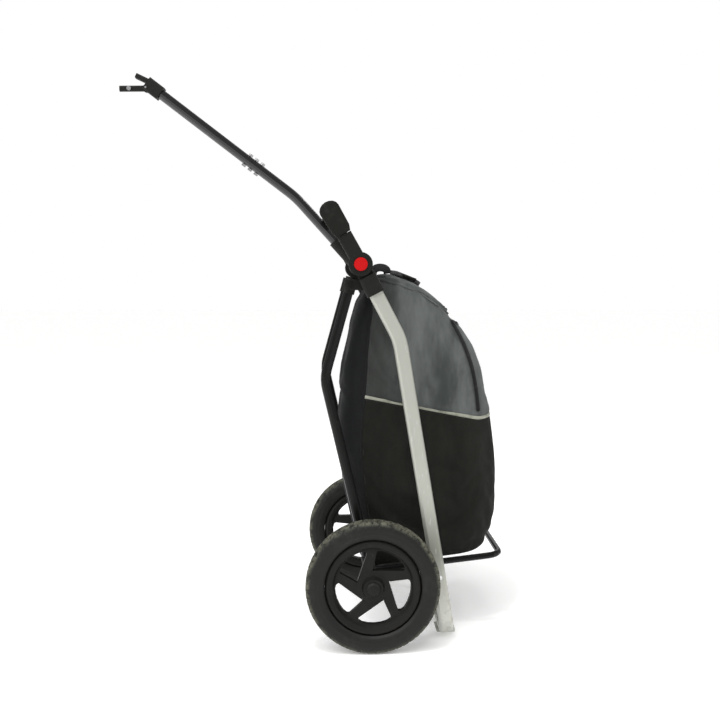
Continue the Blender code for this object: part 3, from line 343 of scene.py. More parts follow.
def greyPiping():  # reflective tape, a little soiled
    p = Paint("greyPiping")
    beads = p.add("ShaderNodeTexVoronoi", {"feature": "F1"}, {"Vector": p.place, "Scale": 1600})
    soiled = p.step(p.noise(38, 4, 0.6), 0.42, 0.70)
    tone = p.mix(soiled, (0.29, 0.295, 0.24), (0.17, 0.175, 0.138))
    return p.finish(colour=tone, rough=0.42 + soiled * 0.2 + beads * 0.1,
                    metal=0.15, normal=p.bump(beads, 0.0002, 0.5))


def zipBlack():
    p = Paint("zipBlack")
    fine = p.noise(1700, 3, 0.6)
    worn = p.step(p.noise(120, 4), 0.55, 0.72)
    tone = p.mix(worn, (0.008, 0.008, 0.008), (0.028, 0.028, 0.027))
    return p.finish(colour=tone, rough=0.38 + fine * 0.2, spec=0.2,
                    normal=p.bump(fine, 0.00012, 0.5))


def boardBrown():  # pressed fibre base board
    p = Paint("boardBrown")
    fibres = p.noise(240, 5, 0.7, stretch=(1, 3, 1))
    tone = p.mix(fibres, (0.030, 0.026, 0.020), (0.075, 0.062, 0.045))
    return p.finish(colour=tone, rough=0.80 + fibres * 0.1,
                    normal=p.bump(fibres, 0.0003, 0.5))


def paleFloor():
    p = Paint("paleFloor")
    patch = p.noise(1.2, 2)
    r, g, b, _ = view["floorTone"]
    p.shader.inputs["Emission Strength"].default_value = 1.0
    tone = p.mix(patch, (r, g, b), (r * 0.985, g * 0.985, b * 0.985))
    return p.finish(colour=tone, rough=0.92 + patch * 0.05, spec=0.1,
                    glow=p.mix(patch, (0.20, 0.20, 0.20), (0.19, 0.19, 0.19)))


# the slate cloth's last tone is painted shade towards the rear seam
slate = dict(dark=(0.040, 0.045, 0.044), light=(0.125, 0.134, 0.130), fleck=(0.150, 0.160, 0.156),
             rearShadeTone=(0.026, 0.027, 0.025))
inky = dict(dark=(0.0070, 0.0070, 0.0055), light=(0.0125, 0.0125, 0.0102), fleck=(0.024, 0.024, 0.020))
gusset = dict(dark=(0.0072, 0.0076, 0.0082), light=(0.0125, 0.0130, 0.0138), fleck=(0.024, 0.024, 0.026))
finishes = {
    "silver": silverTube(), "steel": brightSteel(),
    "black_paint": satinBlack(), "black_gloss": glossBlack(),
    "moulded": mouldedBlack(), "gripper": softGrip(), "tyre": tyreRubber(), "red": redPlastic(),
    "slate_cloth": bagCloth("slateCloth", **slate), "webbing": webbingBlack(), "reflective": greyPiping(),
    "zip": zipBlack(), "board": boardBrown(),
}
inkyCloth = bagCloth("inkyCloth", **inky)
gussetCloth = bagCloth("gussetCloth", **gusset)
for name, obj in nodes.items():
    for slot in obj.material_slots:
        other = {"pivot_bolt": "black_paint", "foot_pad": "silver"}.get(name.rsplit("_", 1)[0])
        slot.material = finishes[other or slot.material.name.split(".")[0]]
print("finishes made")


# ---- mesh helpers ----
def makePiece(name, points, faces, body, mats, uvs=None, kinds=None, smooth=True):
    mesh = bpy.data.meshes.new(name)
    mesh.from_pydata([tuple(p) for p in points], [], faces)
    for mat in mats if isinstance(mats, (list, tuple)) else [mats]:
        mesh.materials.append(mat)
    if uvs:
        layer = mesh.uv_layers.new(name="cloth")
        for loop in mesh.loops:
            layer.data[loop.index].uv = uvs[loop.vertex_index]
    for i, poly in enumerate(mesh.polygons):
        poly.use_smooth = smooth
        if kinds:
            poly.material_index = kinds[i]
    mesh.update()
    obj = bpy.data.objects.new(name, mesh)
    bpy.context.scene.collection.objects.link(obj)
    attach(obj, body)
    return obj


def subdivide(obj, levels=1):
    mod = obj.modifiers.new("smooth", "SUBSURF")
    mod.levels = mod.render_levels = levels


def tangents(points, closed=False):
    count, out = len(points), []
    for i in range(count):
        a = points[i - 1] if i or closed else points[0]
        b = points[(i + 1) % count] if i < count - 1 or closed else points[-1]
        out.append((b - a).normalized())
    return out


def bandMesh(points, outs, width, thick, lift=0.0, closed=False, crown=0.0):
    # flat strap lying on points, with rounded edges; crown lifts its middle
    w, t = width / 2, thick / 2
    section = [(-w, 0), (-w * 0.93, t), (-w * 0.5, t + crown * 0.75), (0, t + crown),
               (w * 0.5, t + crown * 0.75), (w * 0.93, t), (w, 0), (w * 0.93, -t), (0, -t), (-w * 0.93, -t)]
    verts, faces, uvs, run = [], [], [], 0.0
    lines = tangents(points, closed)
    for i, p in enumerate(points):
        if i:
            run += (p - points[i - 1]).length
        t0 = lines[i]
        n = (outs[i] - t0 * t0.dot(outs[i])).normalized()
        side = t0.cross(n)
        for a, b in section:
            verts.append(p + side * a + n * (b + lift))
            uvs.append((a, run))
    k, rings = len(section), len(points)
    for i in range(rings if closed else rings - 1):
        for j in range(k):
            a, b = i * k + j, i * k + (j + 1) % k
            c, d = ((i + 1) % rings) * k + (j + 1) % k, ((i + 1) % rings) * k + j
            faces.append((a, b, c, d))
    if not closed:
        faces.append(tuple(range(k - 1, -1, -1)))
        faces.append(tuple((rings - 1) * k + j for j in range(k)))
    return verts, [f[::-1] for f in faces], uvs


def evenly(points, gap):  # the same line with points a set distance apart
    runs = [0.0]
    for a, b in zip(points, points[1:]):
        runs.append(runs[-1] + (b - a).length)
    count = max(2, int(round(runs[-1] / gap)))
    out, j = [], 0
    for i in range(count + 1):
        want = runs[-1] * i / count
        while j < len(points) - 2 and runs[j + 1] < want:
            j += 1
        f = (want - runs[j]) / max(runs[j + 1] - runs[j], 1e-9)
        out.append(points[j].lerp(points[j + 1], min(max(f, 0), 1)))
    return out


def lengthOf(points):
    return sum((b - a).length for a, b in zip(points, points[1:]))


def relax(points, times=1):
    for _ in range(times):
        inner = [(a + b * 2 + c) / 4 for a, b, c in zip(points, points[1:], points[2:])]
        points = [points[0]] + inner + [points[-1]]
    return points


# ---- tyres ----
tyre = {
    "blocks": 56,
    "groove": 0.0021,
    "wall": [  # shares of the half width and of the depth, with a moulded ring a third of the way up
        (0.66, 0), (0.80, 0.06), (0.90, 0.17), (0.955, 0.28), (0.985, 0.33), (0.985, 0.37),
        (0.97, 0.41), (1, 0.52), (0.985, 0.62), (0.93, 0.73), (0.865, 0.81),
    ],
    "middleBand": 0.0065,
    "bandGap": 0.0016,
    "columns": (0.0, 0.09, 0.13, 0.37, 0.41, 0.5, 0.59, 0.63, 0.87, 0.91),
}


def tyreProfile(radius, seat, halfWidth):
    # from the bead on one side, over the tread, to the other bead
    deep = radius - seat
    bead = [(halfWidth * across, seat + deep * up) for across, up in tyre["wall"]]
    shoulder = []
    for k in range(7):
        a = radians(12 + 62 * k / 6)
        out = seat + deep * 0.80 + deep * 0.2 * (1 - (1 - sin(a)) ** 1.25)
        shoulder.append((halfWidth * 0.84 * cos(a) + 0.0005, out))
    band = tyre["middleBand"]
    edge = band + tyre["bandGap"]
    crown = [(edge, radius), (band, radius), (band * 0.4, radius)]
    half = bead + [p for p in shoulder if p[0] > edge + 0.0012] + crown
    return half + [(-a, r) for a, r in reversed(half)]


def makeTyre(side):
    low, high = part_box("tyre_" + side)
    centre = (low + high) / 2
    radius, halfWidth = (high.z - low.z) / 2, (high.y - low.y) / 2
    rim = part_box("wheel_rim_" + side)
    seat = (rim[1].z - rim[0].z) / 2 + 0.0003
    profile = tyreProfile(radius, seat, halfWidth)
    blocks = tyre["blocks"]
    turns = [(b + c) / blocks for b in range(blocks) for c in tyre["columns"]]
    verts, faces = [], []
    for n, turn in enumerate(turns):
        c = tyre["columns"][n % len(tyre["columns"])]
        for across, r in profile:
            top = r > seat + (radius - seat) * 0.80
            middle = abs(across) < tyre["middleBand"] + 0.0001
            groove = top and ((0.41 <= c <= 0.59) if middle else (c <= 0.09 or c >= 0.91))
            between = abs(abs(across) - tyre["middleBand"] - tyre["bandGap"]) < 0.0001
            depth = tyre["groove"] if groove else (tyre["groove"] * 0.5 if between else 0.0)
            a = 2 * pi * (turn + (0.0012 if middle else 0) + abs(across) * 0.12)
            verts.append(((r - depth) * cos(a), across, (r - depth) * sin(a)))
    k, rings = len(profile), len(turns)
    for i in range(rings):
        here, there = i * k, ((i + 1) % rings) * k
        for j in range(k):
            faces.append((here + j, here + (j + 1) % k, there + (j + 1) % k, there + j))
    obj = makePiece("tyreTread_" + side, verts, faces, "wheel_" + side, finishes["tyre"])
    obj.location = centre
    obj.data.set_sharp_from_angle(angle=radians(38))
    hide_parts("tyre_" + side)


for side in ("left", "right"):
    makeTyre(side)
print("tyres made")


# ---- bag ----
bag = {
    "rimArch": 0.027,
    # how far the rear panel wraps forwards, from the foot to the rim
    "gussetBack": ((0.0, 0.020), (0.25, 0.034), (0.6, 0.050), (0.9, 0.042), (1.0, 0.020)),
    "frontWrap": 0.034,  # how far the front panel wraps backwards
    "pipeRise": (0.397, 0.3465, 0.357),  # above the axle: rear seam, front seam, middle of the front
    "squareFoot": 0.055,  # the share of the height below which the sides are straight
    "footTuck": 0.05,
    "columns": (14, 34, 14),
    "rows": (38, 30),
    "baseRings": 5,
    "levels": 90,  # heights at which the solid is measured
    "ringPoints": 72,
    "crown": 0.0035,  # how far each panel stands proud between its seams
    "seamIn": 0.0012,
    "under": 0.0008,  # the whole cloth lies this far inside the solid
    "flat": (0.99, 0.70),  # the blank that goes round the sides
    "footOval": 0.82,
    "creaseGain": 1.5,
    "endPanels": 0.35,  # the share of the creases that reaches the front and back
    "girth": 1.2,
    "seamHold": 0.85,
    "probeIn": 0.12,
    "footEnds": (0.02, 0.20),  # forwards of the axle, where the foot is measured
    "footClear": 0.004,
    "rimDrop": 0.003,
    "rimFrom": 0.8,  # the share of the height above which the rim arches, and what is left above it
    "rimShare": 0.2,
    "cloth": {
        "slack": -0.022, "pressure": 0.9, "frames": 20, "cap": 0.007, "bend": 0.25,
        "quality": 6, "mass": 0.25, "stretch": 12, "hold": 4, "gravity": 0.35,
    },
    "creases": [  # from, to (forwards of and above the axle), half width, depth
        ((0.070, 0.650), (0.090, 0.520), 0.018, -0.0075),
        ((0.090, 0.520), (0.130, 0.400), 0.020, -0.0065),
        ((0.100, 0.640), (0.150, 0.520), 0.020, 0.0060),
        ((0.150, 0.520), (0.205, 0.400), 0.026, 0.0060),
        ((0.025, 0.570), (0.055, 0.500), 0.014, -0.0060),
        ((0.005, 0.480), (0.045, 0.425), 0.016, 0.0055),
        ((0.160, 0.610), (0.215, 0.510), 0.016, -0.0050),
        ((0.200, 0.480), (0.230, 0.370), 0.014, -0.0055),
        ((0.000, 0.340), (0.090, 0.270), 0.020, 0.0045),
        ((0.060, 0.200), (0.200, 0.130), 0.022, 0.0045),
        ((0.110, 0.350), (0.215, 0.300), 0.018, -0.0045),
        ((0.150, 0.240), (0.240, 0.215), 0.016, -0.0040),
        ((-0.010, 0.150), (0.060, 0.080), 0.018, -0.0040),
        ((0.180, 0.170), (0.245, 0.100), 0.016, -0.0040),
    ],
}


def treeOf(name):
    obj = nodes[name]
    return BVHTree.FromPolygons([obj.matrix_world @ v.co for v in obj.data.vertices],
                                [tuple(p.vertices) for p in obj.data.polygons])


shellTree = treeOf("bag_shell")


def cast(start, way):  # just off the middle plane, where an edge of the solid would let a ray through
    return shellTree.ray_cast(start + Vector((0, 0.0006, 0)), way)[0]


def blendAlong(stops, t):
    for (a, x), (b, y) in zip(stops, stops[1:]):
        if t <= b:
            return x + (y - x) * (t - a) / (b - a)
    return stops[-1][1]


shellLow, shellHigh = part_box("bag_shell")
hinge = Vector(next(j["pos_m"] for j in frame["record"]["behaviour"]["joints"] if j["name"] == "lid_open"))
lidLow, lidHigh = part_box("bag_lid")
under = [cast(Vector((x, 0, -1)), Vector((0, 0, 1))) 
         for x in (shellLow.x + bag["probeIn"], shellHigh.x - bag["probeIn"])]
baseSlope = (under[1].z - under[0].z) / (under[1].x - under[0].x)


def baseHeight(x):
    return under[0].z + (x - under[0].x) * baseSlope


def levelEnds(t):
    backLow, frontLow = (baseHeight(axle.x + along) + bag["footClear"] for along in bag["footEnds"])
    zb = backLow + (hinge.z - bag["rimDrop"] - backLow) * t
    zf = frontLow + (lidLow.z - bag["rimDrop"] - frontLow) * t
    return cast(Vector((-1, 0, zb)), Vector((1, 0, 0))), cast(Vector((1, 0, zf)), Vector((-1, 0, 0)))


def halfRing(t):
    # points of the outer face from the middle of the back, round the near side, to the middle of the front
    if t < bag["squareFoot"]:  # the cloth hangs nearly straight down to its base seam
        ring = halfRing(bag["squareFoot"])
        middle = sum(ring, Vector()) / len(ring)
        f = (1 - t / bag["squareFoot"]) ** 2.6
        out = []
        for p in ring:
            low = baseHeight(p.x) + 0.0008
            q = p + (Vector((middle.x, 0, p.z)) - p) * (bag["footTuck"] * f)
            q.z = low + (p.z - low) * t / bag["squareFoot"]
            out.append(q)
        out[0].y = out[-1].y = 0.0
        return out
    back, front = levelEnds(t)
    centre, along = (back + front) / 2, (front - back).normalized()
    length = (front - back).length
    rise = bag["rimArch"] * max(0.0, (t - bag["rimFrom"]) / bag["rimShare"]) ** 2.1
    out = []
    last = bag["ringPoints"]
    for k in range(last + 1):
        a = pi * (1 - k / last)
        way = along * cos(a) + Vector((0, -sin(a), 0))
        if k in (0, last):
            hit = back if k == 0 else front
        else:
            hit = cast(centre + way * 0.45, -way)
            if hit is None or (hit - centre).length < 0.05:
                hit = out[-1]
        if rise:
            share = min(max((hit - back).dot(along) / length, 0), 1)
            lifted = hit + Vector((0, 0, rise * sin(pi * share ** 0.8)))
            flat = Vector((way.x, way.y, 0)).normalized()
            again = cast(lifted + flat * 0.06, -flat)
            hit = again if again and (again - lifted).length < 0.02 else lifted
        out.append(hit)
    out[0].y = out[-1].y = 0.0
    return out


def runAt(ring, runs, x):  # distance round the ring where it passes x
    for i in range(6, len(ring) - 6):
        if ring[i + 1].x >= x:
            f = (x - ring[i].x) / max(ring[i + 1].x - ring[i].x, 1e-6)
            return runs[i] + (runs[i + 1] - runs[i]) * min(max(f, 0), 1)
    return runs[-7]


levelCount = bag["levels"]
levels = []
for n in range(levelCount + 1):
    t = n / levelCount
    ring = halfRing(t)
    runs = [0.0]
    for a, b in zip(ring, ring[1:]):
        runs.append(runs[-1] + (b - a).length)
    xBack, xFront = ring[0].x, ring[-1].x
    rear = xBack + blendAlong(bag["gussetBack"], t)
    fore = xFront - bag["frontWrap"]
    levels.append((ring, runs, runAt(ring, runs, rear), runAt(ring, runs, fore)))


def onLevel(level, share):
    ring, runs, rear, fore = level
    nA, nB, nC = bag["columns"]
    if share <= nA:
        want = rear * share / nA
    elif share <= nA + nB:
        want = rear + (fore - rear) * (share - nA) / nB
    else:
        want = fore + (runs[-1] - fore) * (share - nA - nB) / nC
    for i in range(len(runs) - 1):
        if runs[i + 1] >= want:
            return ring[i].lerp(ring[i + 1], (want - runs[i]) / max(runs[i + 1] - runs[i], 1e-9))
    return ring[-1].copy()


halfCount = sum(bag["columns"])
columnPoints = [[onLevel(level, i) for level in levels] for i in range(halfCount + 1)]


def pipeHeight(i):
    rearSeam, foreSeam = bag["columns"][0], bag["columns"][0] + bag["columns"][1]
    a, b, c = bag["pipeRise"]
    if i <= rearSeam:
        return axle.z + a
    if i <= foreSeam:
        return axle.z + a + (b - a) * (i - rearSeam) / (foreSeam - rearSeam)
    return axle.z + b + (c - b) * (i - foreSeam) / (halfCount - foreSeam)


def columnAt(i, t):
    line = columnPoints[i]
    n = min(max(t, 0), 1) * levelCount
    k = min(int(n), levelCount - 1)
    return line[k].lerp(line[k + 1], n - k)


lowRows, highRows = bag["rows"]
rowCount = lowRows + highRows
pipeLevel = []  # where each column crosses the piping, as a share of its length
for i in range(halfCount + 1):
    line, height = columnPoints[i], pipeHeight(i)
    n = next(n for n in range(1, levelCount) if line[n].z >= height)
    pipeLevel.append((n - 1 + (height - line[n - 1].z) / (line[n].z - line[n - 1].z)) / levelCount)

def rowAt(j, i):
    if j <= lowRows:
        return columnAt(i, pipeLevel[i] * j / lowRows)
    return columnAt(i, pipeLevel[i] + (1 - pipeLevel[i]) * (j - lowRows) / highRows)


# grid[row][column] over the near half
grid = [[rowAt(j, i) for i in range(halfCount + 1)] for j in range(rowCount + 1)]


def seamShare(i):  # 0 on a seam, 1 midway between two
    nA, nB, nC = bag["columns"]
    if i <= nA:
        return sin(pi / 2 * (1 - i / nA)) ** 0.7
    if i <= nA + nB:
        return sin(pi * (i - nA) / nB) ** 0.6
    return sin(pi / 2 * (i - nA - nB) / nC) ** 0.7


def rowShare(j):
    if j <= lowRows:
        return sin(pi * j / lowRows) ** 0.6 if 0 < j < lowRows else 0.0
    return sin(pi * min((j - lowRows) / highRows, 1)) ** 0.6 if j < rowCount else 0.0


around = halfCount * 2


def columnOf(i):  # half column and side of a full column
    return (i, -1) if i <= halfCount else (around - i, 1)


def bagPoint(j, i):
    half, way = columnOf(i % around)
    p = grid[j][half].copy()
    p.y *= 1 if way < 0 else -1
    return p


def bagNormal(j, i):
    across = bagPoint(j, i + 1) - bagPoint(j, i - 1)
    up = bagPoint(min(j + 1, rowCount), i) - bagPoint(max(j - 1, 0), i)
    return across.cross(up).normalized()


def crease(p, way):
    x, z, total = p.x - axle.x, p.z - axle.z, 0.0
    for (x1, z1), (x2, z2), half, depth in bag["creases"]:
        if way > 0:
            x1, x2 = x1 * 0.8 + 0.03, x2 * 1.05 + 0.01
        dx, dz = x2 - x1, z2 - z1
        length = sqrt(dx * dx + dz * dz)
        along = ((x - x1) * dx + (z - z1) * dz) / length
        off = abs((x - x1) * dz - (z - z1) * dx) / length
        start = min(max((along + half) / (2 * half), 0), 1)
        ends = start * min(max((length + half - along) / (2 * half), 0), 1)
        total += depth * ends * max(0.0, 1 - (off / half) ** 2) ** 2
    return total * bag["creaseGain"]


def makeBag():
    verts, faces, uvs, kinds, pins = [], [], [], [], []
    nA, nB, nC = bag["columns"]
    seams = (nA, nA + nB)
    for j in range(rowCount + 1):
        for i in range(around):
            half, way = columnOf(i)
            p, n = bagPoint(j, i), bagNormal(j, i)
            share = seamShare(half) * rowShare(j)
            side = 1.0 if seams[0] < half < seams[1] else bag["endPanels"]
            proud = bag["crown"] * share - bag["seamIn"] * (1 - share) - bag["under"]
            p = p + n * (proud + crease(p, way) * side * share)
            verts.append(p)
            uvs.append((i * bag["girth"] / around, p.z))
            held = bag["seamHold"] if half in seams else float(j in (0, rowCount))
            pins.append(1.0 if j == lowRows else held)
    for j in range(rowCount):
        for i in range(around):
            a, b = j * around + i, j * around + (i + 1) % around
            faces.append((a, b, b + around, a + around))
            half = min(columnOf(i)[0], columnOf(i + 1 if i + 1 < around else 0)[0])
            rear = half < nA
            kinds.append(2 if rear else (1 if j < lowRows else 0))
    cloths = [finishes["slate_cloth"], inkyCloth, gussetCloth]
    obj = makePiece("bagCloth", verts, faces, "frame", cloths, uvs, kinds)
    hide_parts("bag_shell")
    return obj, pins


def makeFoot(sides):  # the piece under the board, sewn to the sides all round
    verts, faces = [v.co.copy() for v in sides.data.vertices[:around]], []
    centre = sum(verts, Vector()) / around
    for r in range(1, bag["baseRings"] + 1):
        f = 1 - r / (bag["baseRings"] + 0.3)
        for k in range(around):
            p = centre + (verts[k] - centre) * f
            p.z = baseHeight(p.x) + 0.0005
            verts.append(p)
        for k in range(around):
            a, b = (r - 1) * around + k, (r - 1) * around + (k + 1) % around
            faces.append((a, a + around, b + around, b))
    faces.append(tuple(bag["baseRings"] * around + k for k in range(around)))
    uvs = [(p.x, p.y) for p in verts]
    foot = makePiece("bagFoot", verts, faces, "frame", inkyCloth, uvs)
    subdivide(foot)
    cut = [max(p[k] for p in verts) - min(p[k] for p in verts) for k in (0, 1)]
    area = cut[0] * cut[1] * bag["footOval"]


def settle(obj, pins, setting):  # let the cloth find its own folds, then keep the shape
    before = [v.co.copy() for v in obj.data.vertices]
    group = obj.vertex_groups.new(name="pins")
    for k, pin in enumerate(pins):
        if pin > 0:
            group.add([k], pin, "REPLACE")
    mod = obj.modifiers.new("cloth", "CLOTH")
    s = mod.settings
    s.quality, s.mass = setting["quality"], setting["mass"]
    s.tension_stiffness = s.compression_stiffness = setting["stretch"]
    s.bending_stiffness = setting["bend"]
    s.shrink_min = setting["slack"]
    s.use_pressure, s.uniform_pressure_force = True, setting["pressure"]
    s.vertex_group_mass, s.pin_stiffness = "pins", setting["hold"]
    s.effector_weights.gravity = setting["gravity"]
    mod.point_cache.frame_start, mod.point_cache.frame_end = 1, setting["frames"]
    for f in range(1, setting["frames"] + 1):
        bpy.context.scene.frame_set(f)
    shaped = obj.evaluated_get(bpy.context.evaluated_depsgraph_get()).data
    after = [v.co.copy() for v in shaped.vertices]
    obj.modifiers.remove(mod)
    bpy.context.scene.frame_set(1)
    for v, a, b in zip(obj.data.vertices, before, after):
        move = b - a
        if move.length > setting["cap"]:
            move = move.normalized() * setting["cap"]
        v.co = a + move
    obj.data.update()
    print("cloth settled, largest move", round(max((b - a).length for a, b in zip(before, after)), 4))


bagBody, bagPins = makeBag()
makeFoot(bagBody)
settle(bagBody, bagPins, bag["cloth"])
subdivide(bagBody)
print("bag made")


def bagLine(picks, lift):
    # points and outward directions along grid places (row, column), lifted off the cloth
    me = bagBody.data
    pts, outs = [], []
    for j, i in picks:
        k = j * around + i % around
        n = bagNormal(min(j, rowCount - 1), i)
        pts.append(me.vertices[k].co + n * lift)
        outs.append(n)
    return pts, outs


trims = {  # width, thickness, lift off the cloth, crown, rounds of smoothing, slot and finish
    "piping": (0.0075, 0.0016, 0.0012, 0.0012, 2, "reflective", finishes["reflective"]),
    "zip": (0.010, 0.0011, 0.0021, 0.0, 6, "zip", finishes["zip"]),
    "seam": (0.0045, 0.0010, 0.0005, 0.0006, 2, "webbing", gussetCloth),
    "binding": (0.010, 0.0014, 0.0003, 0.0, 2, "slate_cloth", finishes["slate_cloth"]),
    "gap": 0.004,  # between the points of a trim
    "zipBelowRim": 3,  # rows of the bag's grid
    "zipAbovePiping": 2,
}


def trim(name, kind, picks, node=None):
    width, thick, lift, crown, soften, slotName, mat = trims[kind]
    pts, outs = bagLine(picks, lift)
    fine = evenly(relax(pts, soften), trims["gap"])
    fineOuts = []
    for p in fine:
        k = min(range(len(pts)), key=lambda q: (pts[q] - p).length_squared)
        fineOuts.append(outs[k])
    fineOuts = [n.normalized() for n in relax(fineOuts, 6)]
    verts, faces, uvs = bandMesh(fine, fineOuts, width, thick, 0.0, False, crown)
    obj = makePiece(name, verts, faces, "frame", mat, uvs)
    if node:
        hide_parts(node)
    return obj, fine, fineOuts


rearSeam, foreSeam = bag["columns"][0], bag["columns"][0] + bag["columns"][1]
pipePicks = [(lowRows, i) for i in range(rearSeam, around - rearSeam + 1)]
pipe, pipeLine, pipeOuts = trim("pipingTape", "piping", pipePicks, "bag_piping")
zipFoot, zipTop = lowRows + trims["zipAbovePiping"], rowCount - trims["zipBelowRim"]
zipPicks = [(j, foreSeam) for j in range(zipFoot, zipTop)]
zipPicks += [(zipTop, i) for i in range(foreSeam, around - foreSeam + 1)]
zipPicks += [(j, around - foreSeam) for j in range(zipTop - 1, zipFoot - 1, -1)]
zipTape, zipLine, zipOuts = trim("zipTape", "zip", zipPicks, "front_zip")


teeth = {"pace": 0.0024, "aside": 0.0008, "proud": 0.0008, "halfLong": 0.0008, "halfWide": 0.0016,
         "high": 0.0009, "narrow": 0.7}
blockSides = ((3, 2, 1, 0), (4, 5, 6, 7), (0, 1, 5, 4), (1, 2, 6, 5), (2, 3, 7, 6), (3, 0, 4, 7))


def makeTeeth(line, outs, body):
    verts, faces = [], []
    fine = evenly(line, teeth["pace"])
    ways = tangents(fine)
    for k, p in enumerate(fine):
        n = outs[min(range(len(line)), key=lambda q: (line[q] - p).length_squared)]
        t = ways[k]
        n = (n - t * n.dot(t)).normalized()
        side = t.cross(n) * (1 if k % 2 else -1)
        c = p + side * teeth["aside"] + n * teeth["proud"]
        base = len(verts)
        for size, up in ((1.0, 0), (teeth["narrow"], teeth["high"])):
            for a, b in ((-size, -size), (size, -size), (size, size), (-size, size)):
                verts.append(c + t * (a * teeth["halfLong"]) + side * (b * teeth["halfWide"]) + n * up)
        faces += [tuple(base + q for q in f) for f in blockSides]
    return makePiece("zipTeeth", verts, faces, body, finishes["zip"], smooth=False)


stitch = {
    "pace": 0.0044,
    "long": 0.0030,
    "thick": 0.0007,
    # along the stitch, its size there and how far it rises
    "rings": ((-0.5, 0.45, -0.5), (-0.28, 1.0, 0.25), (0.28, 1.0, 0.25), (0.5, 0.45, -0.5)),
    "besidePiping": 0.0062,
    "besideZip": 0.0072,
    "besideSeam": 0.0050,
}


def makeStitches(name, line, outs, shift, body, mat):
    # one row of thread beside a line, each stitch a small rounded bar sunk at both ends
    verts, faces = [], []
    fine = evenly(line, stitch["pace"])
    thick = stitch["thick"]
    ways = tangents(fine)
    for k, p in enumerate(fine[1:-1], 1):
        n = outs[min(range(len(line)), key=lambda q: (line[q] - p).length_squared)]
        t = ways[k]
        n = (n - t * n.dot(t)).normalized()
        side = t.cross(n)
        c = p + side * shift
        base = len(verts)
        for along, size, rise in stitch["rings"]:
            middle = c + t * (along * stitch["long"]) + n * (rise * thick)
            for q in range(6):
                a = pi / 3 * q
                verts.append(middle + (side * cos(a) + n * sin(a)) * (size * thick / 2))
        for r in range(3):
            for q in range(6):
                a, b = base + r * 6 + q, base + r * 6 + (q + 1) % 6
                faces.append((a, b, b + 6, a + 6))
        faces.append(tuple(base + q for q in range(5, -1, -1)))
        faces.append(tuple(base + 18 + q for q in range(6)))
    return makePiece(name, verts, faces, body, mat)


def threadGrey():
    p = Paint("threadGrey")
    twist = p.noise(2600, 2, 0.6)
    tone = p.mix(twist, (0.030, 0.031, 0.030), (0.060, 0.062, 0.060))
    return p.finish(colour=tone, rough=0.6 + twist * 0.2,
                    normal=p.bump(twist, 0.0001, 0.6))


thread = threadGrey()
sewnOn = [pipe, zipTape, makeTeeth(zipLine, zipOuts, "frame")]
for way, sign in (("upper", 1), ("lower", -1)):
    shift = sign * stitch["besidePiping"]
    sewnOn.append(makeStitches("pipingStitch_" + way, pipeLine, pipeOuts, shift, "frame", thread))
for way, sign in (("inner", 1), ("outer", -1)):
    shift = sign * stitch["besideZip"]
    sewnOn.append(makeStitches("zipStitch_" + way, zipLine, zipOuts, shift, "frame", thread))
for way, column, sign in (("left", rearSeam, 1), ("right", around - rearSeam, -1)):
    seam, seamLine, seamOuts = trim("rearSeam_" + way, "seam", [(j, column) for j in range(1, rowCount)])
    shift = sign * stitch["besideSeam"]
    sewnOn += [seam, makeStitches("rearStitch_" + way, seamLine, seamOuts, shift, "frame", thread)]
sewnOn.append(trim("rimBinding", "binding", [(rowCount, i) for i in range(around + 1)])[0])
print("seams and zip made")


# ---- lid, straps and loops ----
lid = {
    "around": 96,
    "rings": 12,
    "step": 0.0015,  # for the walk outwards to the rim
    "thick": 0.0032,
    "under": 0.0016,  # below the top of its solid
    "puff": 0.0016,
    "edgeDrop": 0.004,
    "edgeRipple": 0.0010,
    "topRipple": 0.0008,
    "darkBack": 0.040,
    "binding": {"wide": 0.0052, "thick": 0.0012, "lift": -0.0004, "crown": 0.0005, "drop": 0.0034},
    "oval": 0.82,  # the share of its flat rectangle that the cut fills
}
lidTree = treeOf("bag_lid")


